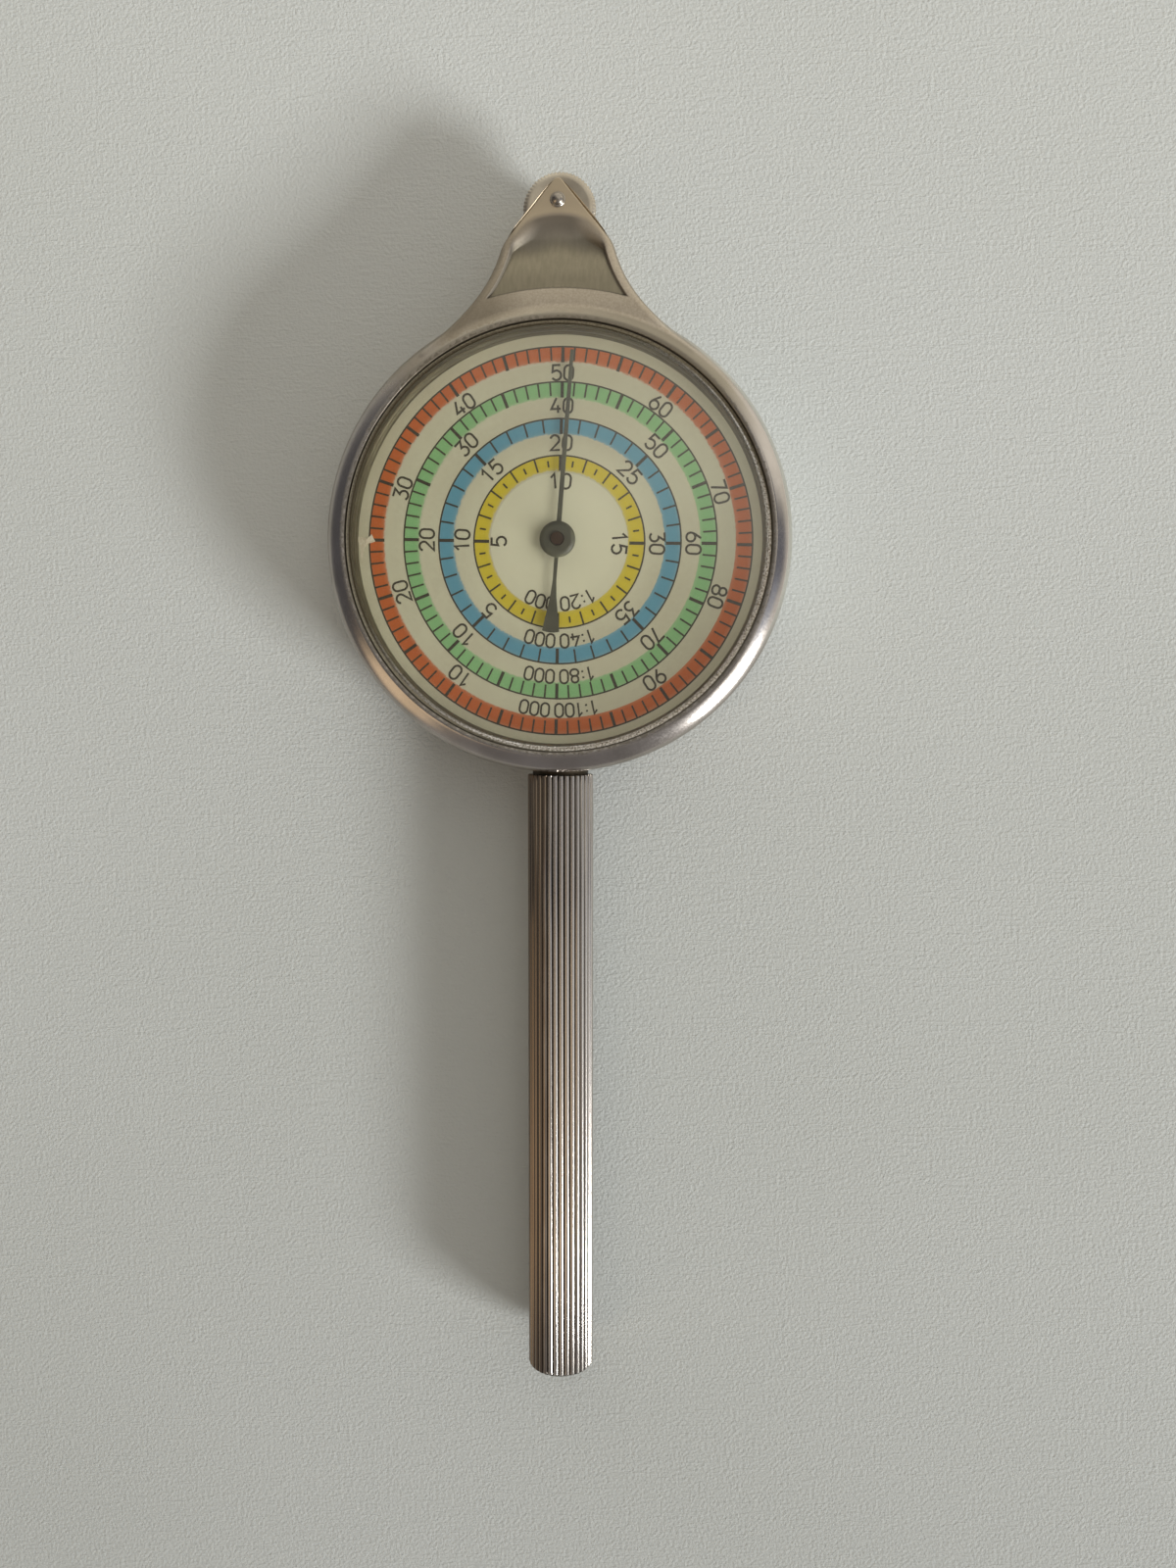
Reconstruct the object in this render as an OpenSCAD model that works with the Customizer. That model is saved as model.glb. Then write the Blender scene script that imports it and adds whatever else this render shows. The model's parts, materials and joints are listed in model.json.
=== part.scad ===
// Map measurer: a small tracing wheel is run along a route on a map, and a hand shows the
// distance on the dial. Origin on the dial's axis at the flat back, +Y towards the tracing
// wheel, +Z out of the dial. The handle runs along -Y.

/* [Case] */
// Outside radius of the round case
case_r = 20.2; // [17:0.1:24.5]
// Wall of the two shells
wall = 0.6; // [0.5:0.05:0.7]
// Floor of the rear shell
back_t = 0.6; // [0.5:0.05:0.8]
// Radius of the flat back that the case lies on, inside the case's edge by this much
back_inset = 2.6; // [2:0.1:3.2]
// Height of the rounding at the back's edge
back_round_h = 2.4; // [1.8:0.1:2.9]
// Width of the rim's crown from its crest to the side of the case
rim_out = 0.95; // [0.8:0.05:1.2]
// Height of the rim's rounding on the outside
rim_round_h = 2; // [1.5:0.1:2.3]
// How far the rim's lip falls from its crest to the glass
rim_drop = 0.3; // [0.2:0.05:0.4]
// Height of the lip that holds the glass, up to the crest
lip_h = 0.65; // [0.55:0.05:0.8]
// Height of the rear shell's spigot above the joint line
spigot_h = 0.9; // [0.5:0.1:1.1]
// Thickness of the spigot
spigot_t = 0.55; // [0.4:0.05:0.6]

/* [Nose] */
// Distance from the case's edge out to the tracing wheel's axis
wheel_reach = 8.7; // [8.4:0.1:10.5]
// Half angle of the pointed ears, from the middle line
ear_angle = 39; // [38:1:42]
// How far the tracing wheel stands out past the ears' sharp tips
ear_setback = 0.2; // [0:0.05:0.5]
// Length of the ears' straight sides, from the sharp tip to the shoulder
ear_len = 8.25; // [8:0.05:8.8]
// Radius of the ears' rounded tips
ear_tip_r = 1.2; // [0.9:0.05:1.4]
// Lean of the nose's flanks from the middle line
flank_lean = 20; // [18:1:23]
// Radius of the shoulders between the ears and the flanks
shoulder_r = 3; // [2:0.5:4]
// Radius of the hollow curves between the flanks and the round case
nose_fillet_r = 12; // [10:0.5:14]
// Fall of the nose's front surface from the rim's crest at the case's edge
nose_drop = 0.3; // [0.2:0.05:0.4]
// Fall of the front ear's top from the rim's crest
ear_drop = 1.6; // [1.4:0.05:1.8]
// Rise of the rear ear above the flat back
rear_ear_rise = 0.9; // [0.6:0.05:1]
// Depth of the panel's floor below the front ear's top
panel_depth = 0.45; // [0.3:0.05:0.5]
// Width of the border round the panel
panel_border = 1.25; // [1.1:0.05:1.4]
// Distance from the case's edge to the panel's lower edge
panel_start = 1.15; // [1:0.05:1.5]
// Radius of the panel's arched top
panel_arch_r = 4.5; // [4.3:0.1:5]
// Distance from the tracing wheel's axis down to the arch
panel_arch_gap = 1.9; // [1.7:0.1:2.2]

/* [Glass and dial] */
// Thickness of the glass at its edge flange
flange_t = 0.4; // [0.3:0.05:0.5]
// Width of the flange under the rim's lip
flange_w = 1.05; // [0.8:0.05:1.2]
// Height of the glass's dome above its edge
dome_h = 0.75; // [0.5:0.05:1]
// Thickness of the glass in the middle
glass_t = 0.65; // [0.5:0.05:0.8]
// Depth from the rim's lip down the glass's edge face
glass_edge_drop = 0.35; // [0.3:0.05:0.45]
// Room for the hand between the dial and the glass's flange
hand_room = 1.4; // [1.2:0.05:1.6]
// Inner radius of the reflector ring at the dial, inside the case's edge by this much
ring_inset = 2.45; // [2.3:0.05:2.7]
// How far the reflector ring opens towards the glass
ring_flare = 0.2; // [0.1:0.05:0.3]
// Thickness of the dial
dial_t = 0.4; // [0.3:0.05:0.5]
// Radius of the dial's centre hole
dial_hole_r = 1; // [0.9:0.05:1.2]
// Radius of the dial's feet
foot_r = 0.35; // [0.3:0.05:0.45]

/* [Hand] */
// Length of the pointer from the centre to its tip
hand_len = 16.15; // [13:0.05:16.5]
// Width of the pointer
hand_w = 0.36; // [0.3:0.02:0.5]
// Length of the tail from the centre
tail_len = 7.85; // [6.5:0.05:9.4]
// Distance from the centre at which the tail starts to widen
tail_start = 3.5; // [2.5:0.1:4.5]
// Width of the tail's end
tail_w = 1.5; // [1.2:0.05:1.8]
// Thickness of the hand
hand_t = 0.2; // [0.15:0.01:0.25]
// Radius of the hand's boss
boss_r = 1.56; // [1.3:0.02:1.8]
// Angle of the hand at rest, clockwise from the tracing wheel
hand_rest = 3.9; // [0:0.1:360]

/* [Movement] */
// Room between the two plates
plate_space = 3.4; // [3.4:0.05:3.8]
// Thickness of the plates
plate_t = 0.6; // [0.5:0.05:0.7]
// Room between the case's floor and the rear plate
plate_lift = 0.5; // [0.5:0.05:0.7]
// Distance from the case's edge to the plates' edge
plate_inset = 2.4; // [2:0.1:3]
// Width of the plates' tongue into the nose
tongue_w = 4; // [3.4:0.1:5]
// Distance from the case's edge to the pillars
pillar_inset = 5.9; // [5:0.1:6.5]
// Radius of the pillars
pillar_r = 0.9; // [0.8:0.05:1.2]
// Radius of the arbors
arbor_r = 0.6; // [0.55:0.05:0.7]
// Radius of the arbors' pivots
pivot_r = 0.3; // [0.25:0.05:0.4]
// Thickness of the gears
gear_t = 0.45; // [0.35:0.05:0.5]
// Module of the first pair of gears
module_1 = 0.2; // [0.19:0.005:0.21]
// Module of the second pair of gears
module_2 = 0.25; // [0.24:0.005:0.26]

/* [Tracing wheel] */
// Length that the tracing wheel rolls in one turn
wheel_roll = 20; // [18:0.5:24]
// Thickness of the tracing wheel at its hub
wheel_t = 1.3; // [1.2:0.05:1.4]
// Thickness of the tracing wheel at its rim
wheel_rim_t = 0.9; // [0.7:0.05:1]
// Number of teeth milled round the rim
wheel_teeth = 60; // [48:2:72]
// Depth of the milled teeth
wheel_tooth_h = 0.1; // [0.06:0.01:0.14]
// Thickness of the wheel's pinion
pinion_t = 0.75; // [0.7:0.05:0.85]
// Radius of the wheel's pin
pin_r = 0.45; // [0.4:0.05:0.5]
// Radius of the pin's heads
pin_head_r = 0.62; // [0.55:0.01:0.75]
// Height of the pin's heads
pin_head_h = 0.42; // [0.3:0.02:0.5]

/* [Handle] */
// Diameter of the handle over its ribs
handle_d = 5.9; // [5.4:0.1:7.1]
// Length of the handle
handle_len = 54.6; // [45:0.1:70]
// Gap between the case's edge and the handle, filled by the stud's collar
handle_gap = 0.3; // [0.25:0.05:0.8]
// Number of ribs round the handle
rib_count = 34; // [28:2:40]
// Height of the ribs
rib_h = 0.2; // [0.1:0.02:0.3]
// Chamfer at the handle's free end
handle_chamfer = 0.3; // [0.2:0.05:0.5]
// Radius of the stud's collar
collar_r = 2.5; // [2.2:0.05:2.7]
// Radius of the stud in the handle
stud_r = 1.7; // [1.4:0.05:1.9]
// Length of the stud in the handle
stud_len = 12; // [8:0.5:16]

/* [Fits] */
// Gap between pieces that are pressed or seated together
seat_gap = 0.02; // [0.01:0.01:0.04]
// Radial clearance of pins and pivots that turn
run_gap = 0.04; // [0.02:0.01:0.06]
// Free play of the arbors between the plates, at each end
end_play = 0.08; // [0.05:0.01:0.12]
// Side clearance of the tracing wheel between the ears
side_gap = 0.25; // [0.2:0.05:0.35]
// Clearance round the tracing wheel and gears in the case
well_gap = 0.35; // [0.25:0.05:0.4]

/* [Hidden] */
round_fn = 96;
eps = 0.01;

// Heights, from the flat back up
rear_plate_z = back_t + plate_lift;
gears_z = rear_plate_z + plate_t;
front_plate_z = gears_z + plate_space;
dial_z = front_plate_z + plate_t;
dial_top = dial_z + dial_t;
glass_z = dial_top + hand_room;
lip_z = glass_z + flange_t + seat_gap;
case_h = lip_z + lip_h;
split_z = case_h / 2;

// Radii of the case
cavity_r = case_r - wall;
flange_r = cavity_r - seat_gap;
lip_r = flange_r - flange_w;
glass_r = lip_r - seat_gap;
crest_r = case_r - rim_out;
back_r = case_r - back_inset;
ring_r = case_r - ring_inset;
plate_r = case_r - plate_inset;

// Tracing wheel and its place between the ears
wheel_r = wheel_roll / (2 * PI);
wheel_y = case_r + wheel_reach;
ear_gap = pinion_t + wheel_t + 2 * side_gap;
ear_gap_z = split_z - ear_gap / 2;
pinion_z = ear_gap_z + side_gap;
wheel_z = pinion_z + pinion_t;
ear_top_z = case_h - ear_drop;
wheel_well_r = wheel_r + well_gap;

// Gear train: 12 to 48, 10 to 50 and 30 to 75 teeth, so fifty turns of the wheel turn the hand once
wheel_leaves = 12;
first_teeth = 48;
first_leaves = 10;
second_teeth = 50;
second_leaves = 30;
centre_teeth = 75;
train_lean = 14.5;
first_pos = [0, wheel_y - module_1 * (wheel_leaves + first_teeth) / 2];
second_dist = module_2 * (first_leaves + second_teeth) / 2;
second_pos = first_pos + second_dist * [sin(train_lean), -cos(train_lean)];
module_3 = 2 * norm(second_pos) / (second_leaves + centre_teeth);
addendum = 0.85;
dedendum = 1.2;
tooth_fill = 0.84;

// Gear heights: the first gear runs in the wheel pinion's plane, the second below it and the
// centre gear above it
first_gear_z = pinion_z + (pinion_t - gear_t) / 2;
second_gear_z = gears_z + 0.65;
second_pinion_z = first_gear_z + gear_t + 0.28;
second_pinion_t = 0.7;
centre_gear_z = second_pinion_z + (second_pinion_t - gear_t) / 2;
gear_room = 0.2;
first_phase = mesh_phase(wheel_leaves, 0, first_teeth, -90);
second_dir = train_lean - 90;
second_phase = mesh_phase(first_leaves, 0, second_teeth, second_dir);
centre_dir = atan2(-second_pos[1], -second_pos[0]);
centre_phase = mesh_phase(second_leaves, 0, centre_teeth, centre_dir);

// Nose outline: the ears' and flanks' straight lines, as outward normals and distances
ear_tip_y = wheel_y + wheel_r - ear_setback;
ear_n = [cos(ear_angle), sin(ear_angle)];
ear_c = ear_n * [0, ear_tip_y];
shoulder = [ear_len * sin(ear_angle), ear_tip_y - ear_len * cos(ear_angle)];
flank_n = [cos(flank_lean), sin(flank_lean)];
flank_c = flank_n * shoulder;
fillet_along = sqrt(pow(case_r + nose_fillet_r, 2) - pow(flank_c + nose_fillet_r, 2));
fillet_pos = (flank_c + nose_fillet_r) * flank_n + fillet_along * [-flank_n[1], flank_n[0]];
cavity_end_y = shoulder[1] - 0.25;
nose_slope_end_y = wheel_y - 1.4;
nose_root_z = 0.1;
nose_floor_z = rear_plate_z - 0.05;
nose_roof_z = ear_top_z - panel_depth - wall;

// Hand and its boss
hand_z = dial_top + 0.95;
boss_z = hand_z - 0.3;
boss_top = hand_z + 0.7;
arbor_top = boss_top + 0.13;

pinion_hub_r = 0.95;
gear_hub_r = 1.1;
sleeve_r = 0.85;
arbor_end_r = 0.55;

// Pillars and screws
pillar_angles = [30, 150, 270];
screw_r = pillar_r / 2;
screw_head_h = plate_lift - 0.05;
screw_len = 2;
slot_w = 0.25;
slot_h = 0.2;
foot_x = plate_r - 2.8;
foot_y = -3;

// Handle
handle_y = -case_r - handle_gap;
collar_seat = 0.25;
stud_neck_r = 0.95;
stud_head_r = 1.3;
stud_head_t = 0.9;
head_face = sqrt(pow(cavity_r, 2) - pow(stud_head_r, 2)) - seat_gap;

// Angle of a tooth of the driven gear, in mesh with a gear whose tooth stands at ph_a,
// where dir is the direction from the first gear's centre to the driven gear's
function mesh_phase(n_a, ph_a, n_b, dir) = dir + 180 - (0.5 - (dir - ph_a) * n_a / 360) * 360 / n_b;

// Point where two lines, given as normals and distances, cross
function crossing(n_a, c_a, n_b, c_b) =
    let (det = n_a[0] * n_b[1] - n_a[1] * n_b[0])
    [(c_a * n_b[1] - n_a[1] * c_b) / det, (n_a[0] * c_b - c_a * n_b[0]) / det];

function polar(r, a) = r * [cos(a), sin(a)];
function flip(p) = [-p[0], p[1]];

// Teeth with straight flanks, narrowed by tooth_fill to leave backlash
function gear_points(n, m, ph) =
    let (pitch = 360 / n, r = m * n / 2, half = pitch / 4 * tooth_fill)
    [for (i = [0:n - 1], k = [0:5])
        let (a = ph + i * pitch)
        k == 0 ? polar(r - dedendum * m, a - half * 1.35) :
        k == 1 ? polar(r, a - half) :
        k == 2 ? polar(r + addendum * m, a - half * 0.35) :
        k == 3 ? polar(r + addendum * m, a + half * 0.35) :
        k == 4 ? polar(r, a + half) :
        polar(r - dedendum * m, a + half * 1.35)];

// Outline of n ridges between two radii, whose flat crests take up the share crest of the pitch
function ridge_points(n, r_low, r_high, crest) =
    let (pitch = 360 / n)
    [for (i = [0:n - 1]) each [polar(r_low, (i - 0.5) * pitch),
                               polar(r_high, (i - crest / 2) * pitch),
                               polar(r_high, (i + crest / 2) * pitch)]];

// Points of an arc from angle a_0 to angle a_1 in n steps
function arc_points(centre, r, a_0, a_1, n) =
    [for (i = [0:n]) centre + polar(r, a_0 + (a_1 - a_0) * i / n)];

// Right half of the nose's outline, d inside the outer skin, from the case up to the tip
function nose_half(d) =
    let (fillet_a = 180 + atan2(fillet_pos[1], fillet_pos[0]),
         step = (fillet_a - 180 - flank_lean) / 12,
         bend = crossing(ear_n, ear_c - shoulder_r, flank_n, flank_c - shoulder_r),
         tip = max(ear_tip_r - d, 0.05),
         tip_pos = [0, (ear_c - d - tip) / ear_n[1]])
    concat([fillet_pos * (cavity_r - d - 0.05) / (case_r + nose_fillet_r)],
           arc_points(fillet_pos, nose_fillet_r + d, fillet_a - step, 180 + flank_lean, 11),
           arc_points(bend, shoulder_r - d, flank_lean, ear_angle, 4),
           arc_points(tip_pos, tip, ear_angle, 90, 4));

function nose_points(d) =
    let (half = nose_half(d), n = len(half))
    concat([[0, 0]], half, [for (i = [n - 2:-1:0]) flip(half[i])]);

// Outer skin of the rear shell and, d inside it, the skin of its cavity
function rear_skin(d, floor_z) =
    [for (i = [0:10])
        let (t = 9 * i)
        [back_r + (back_inset - d) * sin(t), floor_z + (back_round_h - floor_z) * (1 - cos(t))]];

nickel = [0.62, 0.6, 0.56];
steel = [0.55, 0.55, 0.56];
brass = [0.74, 0.58, 0.3];
cream = [0.82, 0.78, 0.66];
black = [0.12, 0.12, 0.12];

module disc(r, h, z = 0) {
    translate([0, 0, z]) cylinder(r = r, h = h, $fn = round_fn);
}

module ring(r_out, r_in, h, z = 0) {
    difference() {
        disc(r_out, h, z);
        disc(r_in, h + 2 * eps, z - eps);
    }
}

// Places its children along the handle's axis, with their +Z towards the handle's free end
module along_handle() {
    translate([0, 0, split_z]) rotate([90, 0, 0]) children();
}

// Block of the nose between two heights, cut to a side profile given as points of Y and Z
module nose_block(side) {
    intersection() {
        linear_extrude(case_h) polygon(nose_points(0));
        translate([-case_r, 0, 0]) rotate([90, 0, 90]) linear_extrude(2 * case_r) polygon(side);
    }
}

// Hollow of the nose between two heights, up to where the solid ears start
module nose_hollow(z_0, z_1) {
    intersection() {
        translate([0, 0, z_0]) linear_extrude(z_1 - z_0) polygon(nose_points(wall));
        translate([-case_r, 0, z_0 - eps]) cube([2 * case_r, cavity_end_y, z_1 - z_0 + 2 * eps]);
    }
}

// What both shells leave free: the wheel between the ears, its pin, and the stud of the handle
module shell_cuts() {
    translate([0, wheel_y, 0]) {
        disc(wheel_well_r, ear_gap, ear_gap_z);
        disc(pin_r + seat_gap, case_h + 2 * eps, -eps);
    }
    along_handle() {
        disc(stud_neck_r + seat_gap, 2 * wall + stud_head_t, case_r - wall - stud_head_t);
        disc(collar_r + seat_gap, 2 * wall, case_r - collar_seat);
    }
}

// Flat shape of the sunk panel on the nose
module panel_shape() {
    arch_y = wheel_y - panel_arch_gap - panel_arch_r;
    intersection() {
        polygon(nose_points(panel_border));
        difference() {
            union() {
                translate([0, arch_y]) circle(r = panel_arch_r, $fn = round_fn);
                translate([-case_r, 0]) square([2 * case_r, arch_y + panel_arch_r / 3]);
            }
            circle(r = case_r + panel_start, $fn = round_fn);
        }
    }
}

module front_shell() {
    nose_top = case_h - nose_drop;
    far_y = wheel_y + wheel_r;
    rim = concat([[cavity_r, split_z], [case_r, split_z]],
                 [for (i = [0:8]) [crest_r + rim_out * cos(11.25 * i),
                                   case_h - rim_round_h + rim_round_h * sin(11.25 * i)]],
                 [for (i = [1:6]) [crest_r - (crest_r - lip_r) * sin(15 * i),
                                   case_h - rim_drop * (1 - cos(15 * i))]],
                 [[lip_r, lip_z], [cavity_r, lip_z]]);
    color(nickel) difference() {
        union() {
            rotate_extrude($fn = round_fn) polygon(rim);
            difference() {
                nose_block([[0, split_z], [far_y, split_z], [far_y, ear_top_z], [nose_slope_end_y, ear_top_z],
                            [case_r, nose_top], [0, nose_top]]);
                disc(crest_r, case_h);
                disc(cavity_r, lip_z);
            }
        }
        nose_hollow(split_z - 1, nose_roof_z);
        translate([0, 0, ear_top_z - panel_depth]) linear_extrude(case_h) panel_shape();
        shell_cuts();
    }
}

module rear_shell() {
    spigot_out = cavity_r - seat_gap;
    spigot_in = spigot_out - spigot_t;
    ledge_z = split_z - 0.9;
    far_y = wheel_y + wheel_r;
    first_out = module_1 * (first_teeth / 2 + addendum) + well_gap;
    second_out = module_2 * (second_teeth / 2 + addendum) + gear_room;
    inside = concat([[0, back_t]], rear_skin(wall, back_t),
                    [[cavity_r, ledge_z - spigot_t], [spigot_in, ledge_z], [spigot_in, case_h], [0, case_h]]);
    color(nickel) difference() {
        union() {
            rotate_extrude($fn = round_fn)
                polygon(concat([[0, 0]], rear_skin(0, 0),
                               [[case_r, split_z], [spigot_out, split_z], [spigot_out, split_z + spigot_h],
                                [0, split_z + spigot_h]]));
            nose_block([[0, nose_root_z], [back_r, nose_root_z], [nose_slope_end_y, rear_ear_rise],
                        [far_y, rear_ear_rise], [far_y, split_z], [0, split_z]]);
        }
        rotate_extrude($fn = round_fn) polygon(inside);
        nose_hollow(nose_floor_z, split_z + spigot_h + 1);
        translate([first_pos[0], first_pos[1], 0]) disc(first_out, case_h, first_gear_z - gear_room);
        translate([second_pos[0], second_pos[1], 0])
            disc(second_out, gear_t + 1.5 * gear_room, second_gear_z - gear_room);
        intersection() {
            disc(cavity_r, case_h, back_t);
            translate([-stud_head_r - 0.2, -case_r, split_z - stud_head_r - 0.2])
                cube([2 * stud_head_r + 0.4, 2 * stud_head_r, case_h]);
        }
        shell_cuts();
    }
}

module crystal() {
    edge_z = case_h - glass_edge_drop;
    bevel = 0.3;
    top_r = glass_r - bevel;
    in_r = lip_r - glass_t;
    in_top = edge_z + dome_h - glass_t;
    color([0.85, 0.9, 0.9], 0.25) rotate_extrude($fn = round_fn)
        polygon(concat([[in_r, glass_z], [flange_r, glass_z], [flange_r, glass_z + flange_t],
                        [glass_r, glass_z + flange_t], [glass_r, edge_z - bevel]],
                       [for (i = [0:9]) [top_r * (1 - i / 9), edge_z + dome_h * (1 - pow(1 - i / 9, 2))]],
                       [for (i = [0:8]) [in_r * i / 9, glass_z + (in_top - glass_z) * (1 - pow(i / 9, 2))]]));
}

// Turned ring that holds the dial down and the glass up, open like a cone towards the glass
module reflector_ring() {
    color(nickel) rotate_extrude($fn = round_fn)
        polygon([[ring_r, dial_top], [flange_r, dial_top], [flange_r, glass_z], [ring_r + ring_flare, glass_z]]);
}

module dial() {
    color(cream) ring(flange_r, dial_hole_r, dial_t, dial_z);
}

module dial_feet() {
    color(brass) for (s = [-1, 1]) translate([s * foot_x, foot_y, 0])
        disc(foot_r, plate_t + 0.15, front_plate_z - 0.15);
}

// Flat shape of both plates: a round with a tongue into the nose
module plate_shape() {
    circle(r = plate_r, $fn = round_fn);
    translate([-tongue_w / 2, 0]) square([tongue_w, first_pos[1]]);
    translate(first_pos) circle(d = tongue_w, $fn = round_fn);
}

module at_pillars() {
    for (a = pillar_angles) rotate(a) translate([case_r - pillar_inset, 0, 0]) children();
}

module front_plate() {
    color(brass) translate([0, 0, front_plate_z]) difference() {
        linear_extrude(plate_t) plate_shape();
        disc(arbor_r + run_gap, 2, -eps);
        for (p = [first_pos, second_pos]) translate(p) disc(pivot_r + run_gap, 2, -eps);
        for (s = [-1, 1]) translate([s * foot_x, foot_y, 0]) disc(foot_r + seat_gap, 2, -eps);
        at_pillars() disc(screw_r + seat_gap, 2, -eps);
    }
}

module rear_plate() {
    color(brass) translate([0, 0, rear_plate_z]) difference() {
        linear_extrude(plate_t) plate_shape();
        for (p = [[0, 0], first_pos, second_pos]) translate(p) disc(pivot_r + run_gap, 2, -eps);
        at_pillars() disc(screw_r + seat_gap, 2, -eps);
    }
}

// Pillars with a tapped hole below and a riveted end above
module plate_pillars() {
    color(brass) at_pillars() difference() {
        union() {
            disc(pillar_r, plate_space, gears_z);
            disc(screw_r, plate_t - 0.05 + eps, front_plate_z - eps);
        }
        disc(screw_r + seat_gap, screw_len + 0.2, gears_z - eps);
    }
}

module pillar_screws() {
    color(steel) at_pillars() difference() {
        union() {
            disc(pillar_r, screw_head_h, rear_plate_z - screw_head_h);
            disc(screw_r, plate_t + screw_len + eps, rear_plate_z - eps);
        }
        translate([-pillar_r, -slot_w / 2, rear_plate_z - screw_head_h - eps]) cube([2 * pillar_r, slot_w, slot_h]);
    }
}

// Domed head of the wheel's pin, standing on z = 0
module pin_head() {
    rotate_extrude($fn = round_fn)
        polygon(concat([[0, 0]], [for (i = [0:6]) [pin_head_r * cos(15 * i), pin_head_h * sin(15 * i)]]));
}

module wheel_pin() {
    color(steel) translate([0, wheel_y, 0]) {
        disc(pin_r, ear_top_z - rear_ear_rise + 2 * eps, rear_ear_rise - eps);
        translate([0, 0, ear_top_z]) pin_head();
        translate([0, 0, rear_ear_rise]) mirror([0, 0, 1]) pin_head();
    }
}

module tracing_wheel() {
    hub = 1.75;
    web_t = 0.6;
    rim_in = wheel_r - 0.6;
    edge = 0.2;
    half = [[hub, wheel_t / 2], [hub + 0.25, web_t / 2], [rim_in - 0.15, web_t / 2], [rim_in, wheel_rim_t / 2],
            [wheel_r - edge, wheel_rim_t / 2], [wheel_r + eps, wheel_rim_t / 2 - edge]];
    n = len(half);
    color(steel) translate([0, wheel_y, wheel_z + wheel_t / 2]) difference() {
        intersection() {
            translate([0, 0, -wheel_t]) linear_extrude(2 * wheel_t)
                polygon(ridge_points(wheel_teeth, wheel_r - wheel_tooth_h, wheel_r, 0.3));
            rotate_extrude($fn = round_fn)
                polygon(concat([[0, wheel_t / 2]], half, [for (i = [n - 1:-1:0]) [half[i][0], -half[i][1]]],
                               [[0, -wheel_t / 2]]));
        }
        disc(pinion_hub_r + seat_gap, 2 * wheel_t, -wheel_t);
    }
}

// A toothed disc with a bore, standing on z = 0
module gear(n, m, ph, t, bore) {
    difference() {
        linear_extrude(t) polygon(gear_points(n, m, ph));
        disc(bore, t + 2 * eps, -eps);
    }
}

module wheel_pinion() {
    color(brass) translate([0, wheel_y, pinion_z]) {
        gear(wheel_leaves, module_1, 0, pinion_t, pin_r + run_gap);
        ring(pinion_hub_r, pin_r + run_gap, wheel_t + eps, pinion_t - eps);
    }
}

module first_gear() {
    color(brass) translate([first_pos[0], first_pos[1], first_gear_z])
        gear(first_teeth, module_1, first_phase, gear_t, arbor_r + seat_gap);
}

module first_pinion() {
    color(steel) translate([first_pos[0], first_pos[1], gears_z + 0.2])
        gear(first_leaves, module_2, 0, first_gear_z - gears_z - 0.2, arbor_r + seat_gap);
}

// Arbor between the plates, with a thinner pivot at each end
module plate_arbor() {
    disc(arbor_r, plate_space - 2 * end_play, gears_z + end_play);
    disc(pivot_r, dial_z - rear_plate_z - 0.1, rear_plate_z + 0.05);
}

module first_arbor() {
    color(steel) translate(first_pos) plate_arbor();
}

module second_gear() {
    color(brass) translate([second_pos[0], second_pos[1], second_gear_z])
        gear(second_teeth, module_2, second_phase, gear_t, arbor_r + seat_gap);
}

// The second pinion's hub reaches down to the second gear, which is riveted to it
module second_pinion() {
    hub_z = second_gear_z + gear_t;
    color(steel) translate([second_pos[0], second_pos[1], 0]) {
        translate([0, 0, second_pinion_z]) gear(second_leaves, module_3, 0, second_pinion_t, arbor_r + seat_gap);
        ring(gear_hub_r, arbor_r + seat_gap, second_pinion_z - hub_z + eps, hub_z);
    }
}

module second_arbor() {
    color(steel) translate(second_pos) plate_arbor();
}

module centre_gear() {
    window_r = 2.2;
    window_at = module_3 * centre_teeth / 2 * 0.6;
    color(brass) translate([0, 0, centre_gear_z]) difference() {
        gear(centre_teeth, module_3, centre_phase, gear_t, arbor_r + seat_gap);
        for (i = [0:4]) rotate(72 * i) translate([window_at, 0, 0]) disc(window_r, 2, -eps);
    }
}

// The centre arbor carries the centre gear on a shoulder and comes out through the dial
module centre_arbor() {
    color(steel) {
        disc(pivot_r, 1, rear_plate_z + 0.05);
        disc(arbor_r, boss_z - gears_z - end_play, gears_z + end_play);
        ring(gear_hub_r, arbor_r - eps, 0.8, centre_gear_z - 0.8);
        disc(arbor_end_r, arbor_top - boss_z + eps, boss_z - eps);
    }
}

module hand() {
    neck_w = 0.3;
    end_bulge = 0.12;
    half = [[hand_w / 2, hand_len], [hand_w / 2, 0], [neck_w / 2, -boss_r], [neck_w / 2, -tail_start],
            [tail_w / 2, end_bulge - tail_len], [tail_w / 4, 0.03 - tail_len]];
    n = len(half);
    color(black) rotate(-hand_rest) translate([0, 0, hand_z]) difference() {
        union() {
            disc(boss_r - 0.2, hand_t);
            linear_extrude(hand_t) polygon(concat(half, [[0, -tail_len]], [for (i = [n - 1:-1:0]) flip(half[i])]));
        }
        disc(sleeve_r + seat_gap, 2 * hand_t, -eps);
    }
}

// The boss is pressed on the arbor's end and clamps the hand
module hand_boss() {
    color(black) {
        ring(sleeve_r, arbor_end_r + seat_gap, hand_z + hand_t - boss_z + eps, boss_z);
        rotate_extrude($fn = round_fn)
            polygon(concat([[arbor_end_r + seat_gap, hand_z + hand_t], [boss_r, hand_z + hand_t]],
                           [for (i = [0:6]) [boss_r - 0.5 * (1 - cos(15 * i)),
                                             boss_top - 0.35 + 0.35 * sin(15 * i)]],
                           [[arbor_end_r + seat_gap, boss_top]]));
    }
}

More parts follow.
